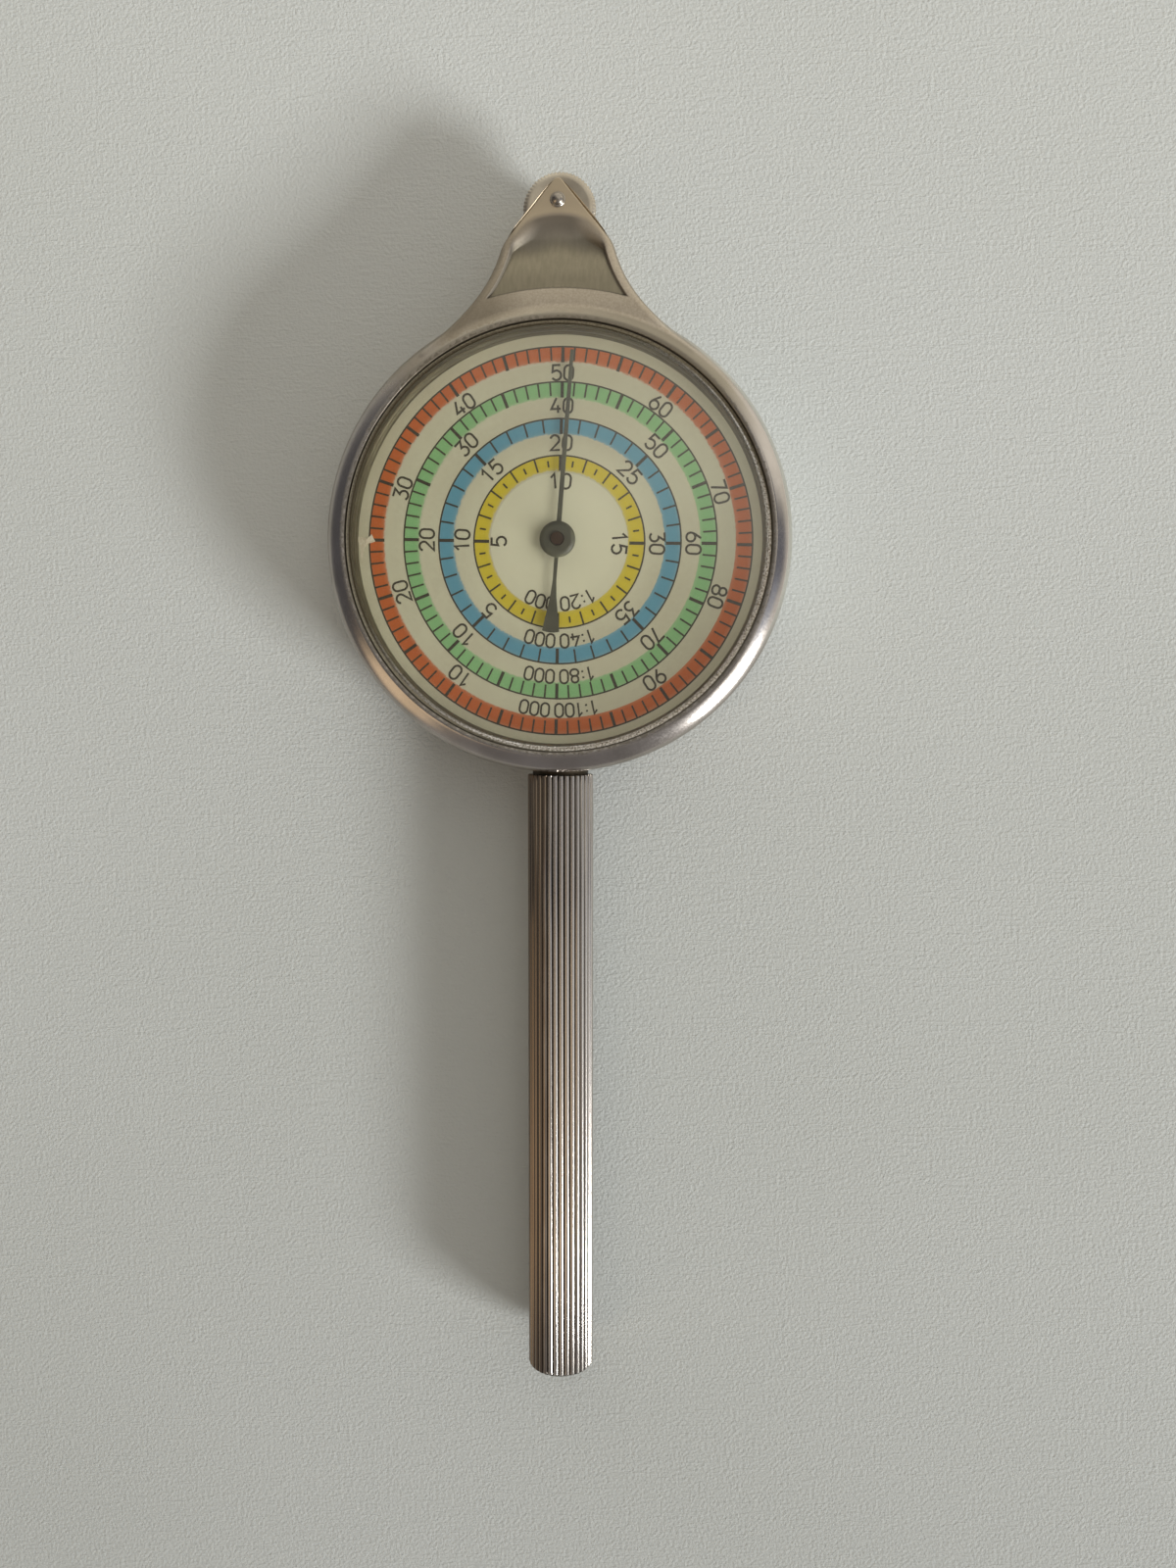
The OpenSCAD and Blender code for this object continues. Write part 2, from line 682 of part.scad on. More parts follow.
module handle_stud() {
    color(nickel) along_handle() {
        disc(stud_head_r, stud_head_t, head_face - stud_head_t);
        disc(stud_neck_r, case_r - collar_seat - head_face + 2 * eps, head_face - eps);
        disc(collar_r, handle_gap + collar_seat, case_r - collar_seat);
        disc(stud_r, stud_len + eps, case_r + handle_gap - eps);
    }
}

module handle() {
    r = handle_d / 2;
    start = case_r + handle_gap;
    color(nickel) along_handle() translate([0, 0, start]) difference() {
        intersection() {
            linear_extrude(handle_len) polygon(ridge_points(rib_count, r - rib_h, r, 0.4));
            rotate_extrude($fn = round_fn)
                polygon([[0, 0], [r + 1, 0], [r + 1, handle_len - handle_chamfer - 1],
                         [r - handle_chamfer, handle_len], [0, handle_len]]);
        }
        disc(stud_r + seat_gap, stud_len + 0.5, -eps);
    }
}

front_shell();
rear_shell();
crystal();
reflector_ring();
dial();
dial_feet();
front_plate();
rear_plate();
plate_pillars();
pillar_screws();
wheel_pin();
handle_stud();
handle();
tracing_wheel();
wheel_pinion();
first_gear();
first_pinion();
first_arbor();
second_gear();
second_pinion();
second_arbor();
centre_gear();
centre_arbor();
hand();
hand_boss();
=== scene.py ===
"""Looks of a map measurer: worn nickel case, domed glass, printed dial, hand, wheel and ribbed handle.

Sizes are in millimetres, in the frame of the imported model, and become metres when a mesh is made.
"""
import json
from math import cos, hypot, pi, radians, sin, sqrt

import bmesh
import bpy
import numpy as np
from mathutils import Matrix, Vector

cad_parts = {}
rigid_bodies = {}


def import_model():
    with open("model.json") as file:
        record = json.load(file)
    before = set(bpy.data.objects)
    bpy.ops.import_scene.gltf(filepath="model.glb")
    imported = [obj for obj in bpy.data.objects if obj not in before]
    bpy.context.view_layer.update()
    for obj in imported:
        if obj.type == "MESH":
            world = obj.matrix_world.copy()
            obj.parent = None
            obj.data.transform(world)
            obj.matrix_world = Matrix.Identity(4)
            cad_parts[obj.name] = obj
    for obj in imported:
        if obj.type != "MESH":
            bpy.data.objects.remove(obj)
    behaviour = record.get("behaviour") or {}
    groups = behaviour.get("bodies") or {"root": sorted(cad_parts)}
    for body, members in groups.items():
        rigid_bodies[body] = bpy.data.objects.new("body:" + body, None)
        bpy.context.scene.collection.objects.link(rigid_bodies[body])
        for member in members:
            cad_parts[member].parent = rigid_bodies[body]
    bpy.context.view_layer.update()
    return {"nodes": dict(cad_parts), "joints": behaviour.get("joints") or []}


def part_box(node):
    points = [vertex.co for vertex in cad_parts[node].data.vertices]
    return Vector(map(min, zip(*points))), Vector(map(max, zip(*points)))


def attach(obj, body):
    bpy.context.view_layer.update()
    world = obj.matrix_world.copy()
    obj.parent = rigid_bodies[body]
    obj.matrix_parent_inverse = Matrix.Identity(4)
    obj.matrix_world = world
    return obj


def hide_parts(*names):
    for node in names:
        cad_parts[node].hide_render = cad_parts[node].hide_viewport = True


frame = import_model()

MM = 0.001


def box_mm(node):
    """Lowest and highest corner of a CAD node, in millimetres."""
    low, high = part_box(node)
    return np.array(low) / MM, np.array(high) / MM


def joint_mm(name):
    """A point on a joint's axis, in millimetres."""
    joint = next(j for j in frame["joints"] if j["name"] == name)
    return np.array(joint["pos_m"]) / MM


# Sizes that the frame gives
CASE_R = box_mm("front_shell")[1][0]
CASE_H = box_mm("front_shell")[1][2]
SPLIT_Z = box_mm("front_shell")[0][2]
GLASS_Z, GLASS_TOP = box_mm("crystal")[0][2], box_mm("crystal")[1][2]
DIAL_TOP = box_mm("dial")[1][2]
WHEEL_LOW, WHEEL_HIGH = box_mm("tracing_wheel")
WHEEL_Y = joint_mm("wheel_turn")[1]
WHEEL_R = WHEEL_HIGH[1] - WHEEL_Y
HANDLE_LOW, HANDLE_HIGH = box_mm("handle")
HANDLE_R = HANDLE_HIGH[0]

# Case, with the walls and fits of the CAD model
CAVITY_R = CASE_R - 0.6
LIP_R = 18.42
LIP_Z = 7.92
CREST_R = LIP_R + 0.38
BACK_R = 17.6
BACK_T = 0.6
BACK_ROUND_H = 2.4
SPIGOT_R = CAVITY_R - 0.02
SPIGOT_H = 0.9
SPIGOT_T = 0.55
SEAM = 0.1
DOME_R = 17.98

# Slope of the rim by share of the way from its crest to the outline
RIM_SLOPES = [(0, 0.1), (0.1, 0.48), (0.4, 0.62), (0.7, 0.8), (0.86, 1.2), (0.97, 2.0), (1, 6.0)]

# Nose and ears: outline, heights, and the rounding of their edges
EAR_TIP_Y = WHEEL_Y + WHEEL_R - 1.0
EAR_ANGLE = radians(39)
EAR_LEN = 7.5
EAR_TIP_R = 0.5
FLANK_LEAN = radians(17)
SHOULDER_R = 3.0
FILLET_R = 12.0
EAR_TOP_Z = CASE_H - 1.6
NOSE_TOP_Z = CASE_H - 0.3
REAR_EAR_Z = 0.9
EAR_GAP_LOW, EAR_GAP_HIGH = 3.01, 5.56
NOSE_FLAT_Y = WHEEL_Y - 1.4
EAR_EDGE = 0.16
RIM_EDGE_W, RIM_EDGE_H = 0.95, 1.7

# Sunk panel on the nose, bounded by an arch under the ear
PANEL_BORDER = 0.78
PANEL_START_R = CASE_R + 0.85
PANEL_DEPTH = 0.22
PANEL_DROP = 0.42
ARCH_Y = 23.6
ARCH_HALF_W = 4.9
ARCH_HALF_H = 4.0


def linear(red, green, blue):
    """Linear colour of an sRGB colour given from 0 to 255."""
    channels = [c / 255 for c in (red, green, blue)]
    return tuple(c / 12.92 if c < 0.04045 else ((c + 0.055) / 1.055) ** 2.4 for c in channels) + (1.0,)


def smoothstep(x):
    """0 below 0, 1 above 1, and a smooth rise between them."""
    x = np.clip(x, 0, 1)
    return x * x * (3 - 2 * x)


def smooth_max(a, b, k):
    """The larger of two fields, blended where they differ by less than k."""
    return np.maximum(a, b) + np.maximum(k - np.abs(a - b), 0) ** 2 / (4 * k)


def smooth_min(a, b, k):
    return -smooth_max(-a, -b, k)


def ring_faces(rows, count, torus=False):
    """Quads between rings of count points, from the last ring back to the first one if torus."""
    faces = []
    for i in range(rows if torus else rows - 1):
        here, there = i * count, (i + 1) % rows * count
        for j in range(count):
            k = (j + 1) % count
            faces.append((here + j, here + k, there + k, there + j))
    return faces


def skin(rings, torus=False, poles=False):
    """Closed shape through rings of points; poles are the middles of the first and the last ring."""
    rows, count = len(rings), len(rings[0])
    points = [tuple(p) for ring in rings for p in ring]
    faces = ring_faces(rows, count, torus)
    if poles:
        points += [tuple(np.mean(rings[0], axis=0)), tuple(np.mean(rings[-1], axis=0))]
        last = (rows - 1) * count
        for j in range(count):
            k = (j + 1) % count
            faces.append((rows * count, k, j))
            faces.append((rows * count + 1, last + j, last + k))
    elif not torus:
        faces.append(tuple(range(count)))
        faces.append(tuple(range(rows * count - 1, (rows - 1) * count - 1, -1)))
    return points, faces


def revolve(profile, count=192, torus=False, poles=False, middle=(0, 0)):
    """A profile of (radius, height) turned about a vertical axis."""
    angles = 2 * pi * np.arange(count) / count
    rings = [np.stack([middle[0] + r * np.cos(angles), middle[1] + r * np.sin(angles), np.full(count, z)], 1)
             for r, z in profile]
    return skin(rings, torus, poles)


def disc(radius, low, high, middle=(0, 0), count=96):
    return revolve([(radius, low), (radius, high)], count, middle=middle)


def prism(outline, low, high):
    """An outline of (x, y) between two heights."""
    return skin([[(x, y, low) for x, y in outline], [(x, y, high) for x, y in outline]])


def turned_to_minus_y(shape, height):
    """A shape about the Z axis laid along -Y, at a height."""
    points, faces = shape
    return [(x, -z, y + height) for x, y, z in points], faces


def merged(shapes):
    """Several shapes as one."""
    points, faces = [], []
    for some_points, some_faces in shapes:
        base = len(points)
        points += some_points
        faces += [tuple(base + i for i in face) for face in some_faces]
    return points, faces


def mesh_from(name, shape):
    """A mesh in metres of a shape in millimetres, with its normals outward."""
    points, faces = shape
    mesh = bpy.data.meshes.new(name)
    mesh.from_pydata([tuple(c * MM for c in p) for p in points], [], faces)
    work = bmesh.new()
    work.from_mesh(mesh)
    bmesh.ops.recalc_face_normals(work, faces=work.faces)
    work.to_mesh(mesh)
    work.free()
    return mesh


def placed(name, data):
    """An object with a mesh, a lamp or a camera as its data, in the scene."""
    obj = bpy.data.objects.new(name, data)
    bpy.context.scene.collection.objects.link(obj)
    return obj


def carve(obj, shapes):
    """Cuts closed shapes out of an object's mesh."""
    cutters = []
    for number, shape in enumerate(shapes):
        cutters.append(placed(f"cutter_{number}", mesh_from("cutter", shape)))
        modifier = obj.modifiers.new("carve", "BOOLEAN")
        modifier.solver = "MANIFOLD"
        modifier.object = cutters[-1]
    bpy.context.view_layer.update()
    solid = bpy.data.meshes.new_from_object(obj.evaluated_get(bpy.context.evaluated_depsgraph_get()))
    obj.modifiers.clear()
    obj.data = solid
    for cutter in cutters:
        bpy.data.objects.remove(cutter)


def piece(name, shape, body, materials, stands_for=(), cuts=(), values=None, crease=35):
    """A piece of the object from a shape, less its cuts, riding on a body.

    values holds lists of numbers by point of the shape, which its material reads by their names.
    """
    obj = placed(name, mesh_from(name, shape))
    for label, numbers in (values or {}).items():
        obj.data.attributes.new(label, "FLOAT", "POINT").data.foreach_set("value", numbers)
    if cuts:
        carve(obj, cuts)
    obj.data.materials.clear()
    for material in materials:
        obj.data.materials.append(material)
    obj.data.shade_smooth()
    obj.data.set_sharp_from_angle(angle=radians(crease))
    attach(obj, body)
    if stands_for:
        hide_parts(*stands_for)
    return obj


def feed(tree, socket, value):
    """Links a socket to an output, or sets its value."""
    if isinstance(value, bpy.types.NodeSocket):
        tree.links.new(value, socket)
    elif value is not None:
        socket.default_value = value


def add_node(tree, kind, operation=None, data_type=None, **inputs):
    """A node whose inputs are given by name, with underscores for spaces, or by n and number."""
    made = tree.nodes.new("ShaderNode" + kind)
    if operation:
        made.operation = operation
    if data_type:
        made.data_type = data_type
    for label, value in inputs.items():
        numbered = label[0] == "n" and label[1:].isdigit()
        feed(tree, made.inputs[int(label[1:]) if numbered else label.replace("_", " ")], value)
    return made


class Paint:
    """A procedural material in object coordinates, in millimetres."""

    def __init__(self, name, **inputs):
        self.material = bpy.data.materials.new(name)
        self.material.use_nodes = True
        self.tree = self.material.node_tree
        self.shader = self.tree.nodes["Principled BSDF"]
        self.place = self.node("VectorMath", "SCALE", Vector=self.node("TexCoord").outputs["Object"],
                               Scale=1 / MM).outputs[0]
        self.put(**inputs)

    def node(self, kind, operation=None, data_type=None, **inputs):
        return add_node(self.tree, kind, operation, data_type, **inputs)

    def put(self, **inputs):
        """Sets or links sockets of the shader."""
        for label, value in inputs.items():
            feed(self.tree, self.shader.inputs[label.replace("_", " ")], value)

    def noise(self, scale, detail=3.0, stretch=(1, 1, 1)):
        """Noise with scale cells a millimetre, from about 0.3 to 0.7."""
        place = self.node("VectorMath", "MULTIPLY", n0=self.place, n1=stretch).outputs[0]
        return self.node("TexNoise", Vector=place, Scale=scale, Detail=detail).outputs["Fac"]

    def by_point(self, name):
        """Values that the mesh holds by point."""
        attribute = self.node("Attribute")
        attribute.attribute_name = name
        return attribute.outputs["Fac"]

    def span(self, value, low, high, to_low=0.0, to_high=1.0):
        """Maps low..high onto to_low..to_high, clamped."""
        return self.node("MapRange", Value=value, From_Min=low, From_Max=high, To_Min=to_low,
                         To_Max=to_high).outputs[0]

    def math(self, operation, a, b=None):
        return self.node("Math", operation, n0=a, n1=b).outputs[0]

    def plus(self, a, b):
        return self.math("ADD", a, b)

    def times(self, a, b):
        return self.math("MULTIPLY", a, b)

    def mix(self, factor, a, b):
        """Colour a where the factor is 0 and b where it is 1."""
        return self.node("Mix", data_type="RGBA", n0=factor, n6=a, n7=b).outputs[2]

    def tone(self, value, a, b, low=0.35, high=0.65):
        """Colour a where a value is low and b where it is high."""
        return self.mix(self.span(value, low, high), a, b)

    def axis(self, name):
        return self.node("SeparateXYZ", Vector=self.place).outputs[name]

    def radius(self):
        """Distance from the dial's axis."""
        flat = self.node("VectorMath", "MULTIPLY", n0=self.place, n1=(1, 1, 0)).outputs[0]
        return self.node("VectorMath", "LENGTH", n0=flat).outputs["Value"]

    def bump(self, height, depth, over=None):
        """Relief of a height from 0 to 1, depth millimetres deep."""
        return self.node("Bump", Height=height, Distance=depth * MM, Strength=1.0, Normal=over).outputs[0]


def front_wear(paint, colour, rough, toward_nose):
    """The front shell's colour and roughness: its panel, dirt and painted shade, rubbed crest, a darker band
    beside its lip, painted shade in the groove at the lip, and painted shade on the crest at the upper side.
    """
    across, height, radius = paint.axis("X"), paint.axis("Y"), paint.radius()
    ragged = paint.plus(radius, paint.span(paint.noise(3.0, detail=5), 0.35, 0.65, -0.16, 0.16))
    bare = paint.times(paint.span(ragged, CREST_R + 0.15, CREST_R + 0.3, 1.0, 0.0), toward_nose)
    colour = paint.mix(bare, colour, linear(166, 158, 144))
    rubbed = paint.noise(2.5, detail=4, stretch=(1.5, 0.25, 1))
    floor = paint.tone(rubbed, linear(141, 133, 115), linear(133, 126, 108))
    colour = paint.mix(paint.by_point("panel"), colour, floor)
    # Dirt and painted shade from the mesh: darker, rougher and less metallic at the foot of the panel's
    # walls and in the painted dark crescent under the arch.
    painted_shade_and_dirt = paint.by_point("painted_shade_and_dirt")
    colour = paint.mix(painted_shade_and_dirt, colour, linear(60, 54, 46))
    paint.put(Metallic=paint.span(painted_shade_and_dirt, 0.0, 0.6, 1.0, 0.0))
    # A darker, rougher band beside the lip.
    darker_lip_band = paint.span(ragged, LIP_R + 0.12, LIP_R + 0.3, 0.6, 0.0)
    colour = paint.mix(darker_lip_band, colour, linear(86, 80, 66))
    rough = paint.plus(paint.plus(rough, paint.times(painted_shade_and_dirt, 0.5)), paint.times(darker_lip_band, 0.3))
    # Painted shade in the groove beside the lip, painted lighter towards the right, where the light falls.
    painted_groove_shade = paint.span(radius, LIP_R + 0.01, LIP_R + 0.06, 1.0, 0.0)
    colour = paint.mix(painted_groove_shade, colour, paint.tone(across, linear(72, 64, 53), linear(112, 104, 92), 4, 14))
    # Painted shade: the crest is painted darker on the upper side, most towards the right.
    painted_shade_upper_side = paint.times(paint.span(height, 8.0, 13.0, 0.0, 0.9), paint.span(across, -8.0, 6.0))
    on_crest = paint.times(paint.span(radius, CREST_R + 0.55, CREST_R + 0.8, 1.0, 0.0),
                           paint.span(radius, LIP_R + 0.05, LIP_R + 0.15))
    return paint.mix(paint.times(painted_shade_upper_side, on_crest), colour, linear(148, 140, 125)), rough


def nickel(name, front=True):
    """Worn nickel plate: bright round the rim, satin and warm on the nose, browner on the ears, with painted
    shade on the nose's left flank and a painted paler reflection on the rim's outer slope at the right.
    """
    paint = Paint(name, Metallic=1.0)
    across, height = paint.axis("X"), paint.axis("Y")
    patch = paint.noise(0.25)
    fine = paint.noise(6.0, detail=5)
    toward_nose = paint.span(paint.plus(height, paint.times(patch, 8.0)), 15.0, 22.0)
    bright = paint.tone(patch, linear(182, 175, 169), linear(167, 160, 153))
    dull = paint.tone(fine, linear(186, 175, 158), linear(174, 162, 145))
    dull = paint.tone(height, dull, linear(181, 166, 143), 24.5, 27.5)
    # Painted shade: the nose's left flank is painted darker.
    painted_shade_left_flank = paint.times(paint.span(across, -5.5, -2.5, 0.55, 0.0), toward_nose)
    dull = paint.mix(painted_shade_left_flank, dull, linear(124, 114, 96))
    colour = paint.mix(toward_nose, bright, dull)
    rough = paint.plus(paint.span(toward_nose, 0, 1, 0.2, 0.4), paint.span(fine, 0.3, 0.7, -0.03, 0.05))
    if front:
        colour, rough = front_wear(paint, colour, rough, toward_nose)
    # Painted reflection: the rim's outermost slope is painted paler on the right side, apart from the lower
    # right.
    painted_reflection_right = paint.times(paint.span(across, 8.0, 14.0), paint.span(height, -10.0, -4.0))
    outermost = paint.span(paint.radius(), CREST_R + 0.95, CREST_R + 1.15)
    colour = paint.mix(paint.times(painted_reflection_right, outermost), colour, linear(228, 226, 218))
    paint.put(Base_Color=colour, Roughness=rough, Normal=paint.bump(paint.noise(14.0), 0.002))
    return paint.material


def handle_chrome():
    """Bright plate with dirt and painted shade between the ribs, and painted shade on its left side."""
    paint = Paint("handle_chrome", Metallic=1.0)
    cloud = paint.noise(0.35, stretch=(1, 0.3, 1))
    across = paint.axis("X")
    height = paint.math("SUBTRACT", paint.axis("Z"), SPLIT_Z)
    off_axis = paint.math("SQRT", paint.plus(paint.times(across, across), paint.times(height, height)))
    # Dirt and painted shade in the valleys between the ribs.
    rib_valley_dirt_and_shade = paint.span(off_axis, HANDLE_R - 0.19, HANDLE_R - 0.07, 1.0, 0.0)
    colour = paint.tone(cloud, linear(194, 188, 182), linear(178, 171, 164))
    # Painted shade: the left side of the handle is painted darker.
    painted_shade_left_side = paint.span(paint.plus(across, paint.span(cloud, 0.3, 0.7, -0.4, 0.4)), -1.5, -0.6, 1.0, 0.0)
    colour = paint.mix(painted_shade_left_side, colour, linear(130, 116, 102))
    colour = paint.mix(rib_valley_dirt_and_shade, colour, linear(54, 47, 40))
    paint.put(Base_Color=colour, Roughness=paint.span(cloud, 0.3, 0.7, 0.18, 0.26))
    return paint.material


def plain_metal(name, colour, darker, roughness, metallic=1.0, relief=0.003):
    """Metal or paint with a fine grain in its gloss and relief, and darker clouds."""
    paint = Paint(name, Metallic=metallic)
    fine = paint.noise(6.0, detail=4)
    paint.put(Base_Color=paint.tone(paint.noise(0.4), colour, darker),
              Roughness=paint.span(fine, 0.3, 0.7, roughness - 0.06, roughness + 0.08),
              Normal=paint.bump(fine, relief))
    return paint.material


def reflector_metal():
    """Dulled turned metal with the lathe's rings in it."""
    paint = Paint("reflector", Metallic=1.0, Roughness=0.4)
    ring = paint.noise(6.0, detail=2, stretch=(0.02, 0.02, 1))
    colour = paint.tone(paint.noise(0.35), linear(140, 134, 112), linear(118, 110, 90))
    colour = paint.mix(paint.span(ring, 0.35, 0.65, 0, 0.6), colour, linear(92, 82, 62))
    paint.put(Base_Color=colour, Normal=paint.bump(ring, 0.006))
    return paint.material


def dial_card():
    """Aged cream card with painted light that makes it paler in the middle, darker in patches and towards
    its edge.
    """
    paint = Paint("dial_card", Roughness=0.62)
    cloud = paint.noise(0.09, detail=2)
    fibre = paint.noise(4.0, detail=5)
    colour = paint.tone(cloud, linear(197, 192, 160), linear(189, 182, 150), high=0.7)
    colour = paint.mix(paint.span(fibre, 0.35, 0.75, 0.0, 0.3), colour, linear(170, 163, 134))
    # Painted light: the card is painted paler within about 9 mm of the middle.
    colour = paint.mix(paint.span(paint.radius(), 4.5, 9.0, 1.0, 0.0), colour, linear(213, 208, 175))
    stained = paint.span(paint.plus(paint.radius(), paint.times(cloud, 3.0)), 17.5, 19.5, 0.0, 0.5)
    colour = paint.mix(stained, colour, linear(164, 154, 124))
    paint.put(Base_Color=colour, Normal=paint.bump(fibre, 0.004))
    return paint.material


def printed_band(name, colour, inner_r):
    """Coloured ink, paler along both edges of its band and thin over the inner one."""
    paint = Paint(name, Roughness=0.6)
    card = linear(190, 184, 154)
    grain = paint.noise(5.0, detail=5)
    darker = tuple(0.8 * c for c in colour[:3]) + (1.0,)
    pale = tuple(0.75 * c + 0.25 * d for c, d in zip(colour, card))
    tint = paint.mix(paint.span(grain, 0.35, 0.7, 0.0, 0.3), colour, darker)
    margin = paint.math("PINGPONG", paint.math("SUBTRACT", paint.radius(), inner_r + 0.1), 0.5 * BAND_W)
    tint = paint.mix(paint.span(margin, 0.0, 0.35, 0.6, 0.0), tint, pale)
    ragged = paint.plus(paint.radius(), paint.span(grain, 0.3, 0.7, -0.07, 0.07))
    thin = paint.span(ragged, inner_r, inner_r + 0.15, 1.0, 0.0)
    paint.put(Base_Color=paint.mix(thin, tint, card), Normal=paint.bump(grain, 0.003))
    return paint.material


def printed_ink():
    paint = Paint("print_ink", Roughness=0.55)
    grain = paint.noise(7.0, detail=4)
    paint.put(Base_Color=paint.tone(grain, linear(48, 40, 20), linear(70, 60, 36), high=0.7),
              Normal=paint.bump(grain, 0.002))
    return paint.material


def scuffed_glass(name, transmission):
    """Glass that is less glossy in fine scuffed patches."""
    paint = Paint(name, Transmission_Weight=transmission, IOR=1.49)
    paint.put(Roughness=paint.span(paint.noise(1.3, detail=6), 0.5, 0.75, 0.02, 0.1))
    return paint


def clear_glass():
    """Glass that lets the light through to the dial."""
    paint = scuffed_glass("clear_glass", 1.0)
    shadow = paint.node("LightPath").outputs["Is Shadow Ray"]
    clear = paint.node("BsdfTransparent", Color=(0.93, 0.93, 0.9, 1.0)).outputs[0]
    blend = paint.node("MixShader", n0=shadow, n1=paint.shader.outputs[0], n2=clear).outputs[0]
    feed(paint.tree, paint.tree.nodes["Material Output"].inputs["Surface"], blend)
    return paint.material


def ground_edge():
    """The glass's ground edge: grainy and stained, with a painted highlight on its bevel at the lower right.
    """
    paint = scuffed_glass("glass_edge", 0.0)
    grain = paint.noise(6.0, detail=5)
    toward_lower_right = paint.math("SUBTRACT", paint.axis("X"), paint.axis("Y"))
    wide = paint.span(toward_lower_right, 6, 20, 0.0, 0.22)
    bevel = paint.span(paint.math("SUBTRACT", paint.radius(), wide), DOME_R + 0.1, DOME_R + 0.2, 1.0, 0.0)
    stained = paint.tone(grain, linear(84, 76, 60), linear(124, 115, 94), 0.3, 0.65)
    # Painted highlight: the bevel is painted bright at the lower right and dark away from it.
    painted_highlight = paint.tone(grain, linear(150, 140, 120), linear(250, 246, 238), 0.35, 0.6)
    painted_highlight = paint.tone(toward_lower_right, linear(96, 88, 70), painted_highlight, -10, 16)
    paint.put(Base_Color=paint.mix(bevel, stained, painted_highlight), Normal=paint.bump(grain, 0.02))
    return paint.material


def nose_half(inset=0.0, steps=60):
    """Right half of the nose's outline, inset by some distance, from the case up to the tip."""
    ear_n = np.array([cos(EAR_ANGLE), sin(EAR_ANGLE)])
    ear_c = ear_n[1] * EAR_TIP_Y
    shoulder = np.array([EAR_LEN * sin(EAR_ANGLE), EAR_TIP_Y - EAR_LEN * cos(EAR_ANGLE)])
    flank_n = np.array([cos(FLANK_LEAN), sin(FLANK_LEAN)])
    flank_c = flank_n @ shoulder
    along = sqrt((CASE_R + FILLET_R) ** 2 - (flank_c + FILLET_R) ** 2)
    fillet = (flank_c + FILLET_R) * flank_n + along * np.array([-flank_n[1], flank_n[0]])
    bend = np.linalg.solve([ear_n, flank_n], [ear_c - SHOULDER_R, flank_c - SHOULDER_R])
    tip_r = max(EAR_TIP_R - inset, 0.05)
    tip = np.array([0, (ear_c - inset - tip_r) / ear_n[1]])

    def arc_points(centre, radius, start, end):
        angles = np.linspace(start, end, steps)
        return centre + radius * np.stack([np.cos(angles), np.sin(angles)], 1)

    fillet_start = pi + np.arctan2(fillet[1], fillet[0])
    return np.concatenate([arc_points(fillet, FILLET_R + inset, fillet_start, pi + FLANK_LEAN),
                           arc_points(bend, SHOULDER_R - inset, FLANK_LEAN, EAR_ANGLE),
                           arc_points(tip, tip_r, EAR_ANGLE, pi / 2)])


OUTLINE = nose_half()


def outline_radius(theta):
    """Distance from the dial's axis to the case's outline, theta from +Y."""
    around = np.arctan2(OUTLINE[:, 0], OUTLINE[:, 1])[::-1]
    return np.interp(np.abs(theta), around, np.hypot(*OUTLINE.T)[::-1], right=CASE_R)


def inside_distance(x, y):
    """Distance from points inside the nose to its outline."""
    spots = np.stack([np.abs(x).ravel(), y.ravel()], 1)
    starts, steps = OUTLINE[:-1], np.diff(OUTLINE, axis=0)
    lengths = (steps ** 2).sum(1)
    best = np.full(len(spots), np.inf)
    for start, step, length in zip(starts, steps, lengths):
        if length > 0:
            share = np.clip((spots - start) @ step / length, 0, 1)
            best = np.minimum(best, np.hypot(*(spots - start - share[:, None] * step).T))
    return best.reshape(x.shape)


def polar_lines():
    """Angles from +Y of the lines that the case's surface is drawn along, closest over the nose."""
    fine, middle = radians(18), radians(42)
    right = np.concatenate([np.arange(0, fine, radians(0.15)), np.arange(fine, middle, radians(0.4)),
                            np.linspace(middle, pi, 112)[:-1]])
    return np.concatenate([right, [pi], -right[:0:-1]])


def ramp_to_ears(y, near, far):
    """Level of a nose surface that runs from one height at the case to another at the ears."""
    t = (y - CASE_R) / (NOSE_FLAT_Y - CASE_R)
    return near + (far - near) * smooth_min(smooth_max(t, 0, 0.15), 1, 0.15)


def edge_fall(distance, theta, y, round_w, round_h):
    """How far a nose surface falls towards the outline: rounded edges, finer on the ears."""
    on_ear = smoothstep((y - 25) / 2)
    on_rim = smoothstep((np.abs(theta) - radians(22)) / radians(16))
    width = round_w + (EAR_EDGE - round_w) * on_ear + (RIM_EDGE_W - round_w) * on_rim
    fall = round_h + (EAR_EDGE - round_h) * on_ear + (RIM_EDGE_H - round_h) * on_rim
    return fall * (1 - np.sqrt(1 - np.clip(1 - distance / width, 0, 1) ** 2))


def fades_off(theta):
    """How far the nose's surface sinks into the round case away from the nose."""
    return smoothstep((np.abs(theta) - radians(36)) / radians(6))


def rim_share(theta, radius, start_r):
    """How far a radius is from where the rounding starts, at 0, to the case's outline, at 1."""
    beside_nose = smoothstep((np.abs(theta) - radians(28)) / radians(8))
    width = CASE_R - start_r + (outline_radius(theta) - CASE_R) * beside_nose
    return (radius - start_r) / width


def rim_fall(share):
    """Fall of the front rim's profile, the sum of its slopes."""
    shares = np.linspace(0, 1, 401)
    slopes = np.interp(shares, *zip(*RIM_SLOPES))
    falls = np.cumsum(slopes) * (CASE_R - CREST_R) / len(shares)
    return np.interp(share, shares, falls) + 5 * np.maximum(share - 1, 0)


def surface_grid(inner_r, samples):
    """Polar grid from a radius out to the outline, dense at the outline: theta, radius, x, y, distance."""
    theta = polar_lines()
    share = np.sin(0.5 * pi * np.linspace(0, 1, samples + 1))[:, None]
    radius = inner_r + (outline_radius(theta) - inner_r) * share
    x, y = radius * np.sin(theta), radius * np.cos(theta)
    distance = outline_radius(theta) - radius
    near = np.abs(theta) < radians(44)
    distance[:, near] = np.minimum(distance[:, near], inside_distance(x[:, near], y[:, near]))
    return np.broadcast_to(theta, x.shape), radius, x, y, distance


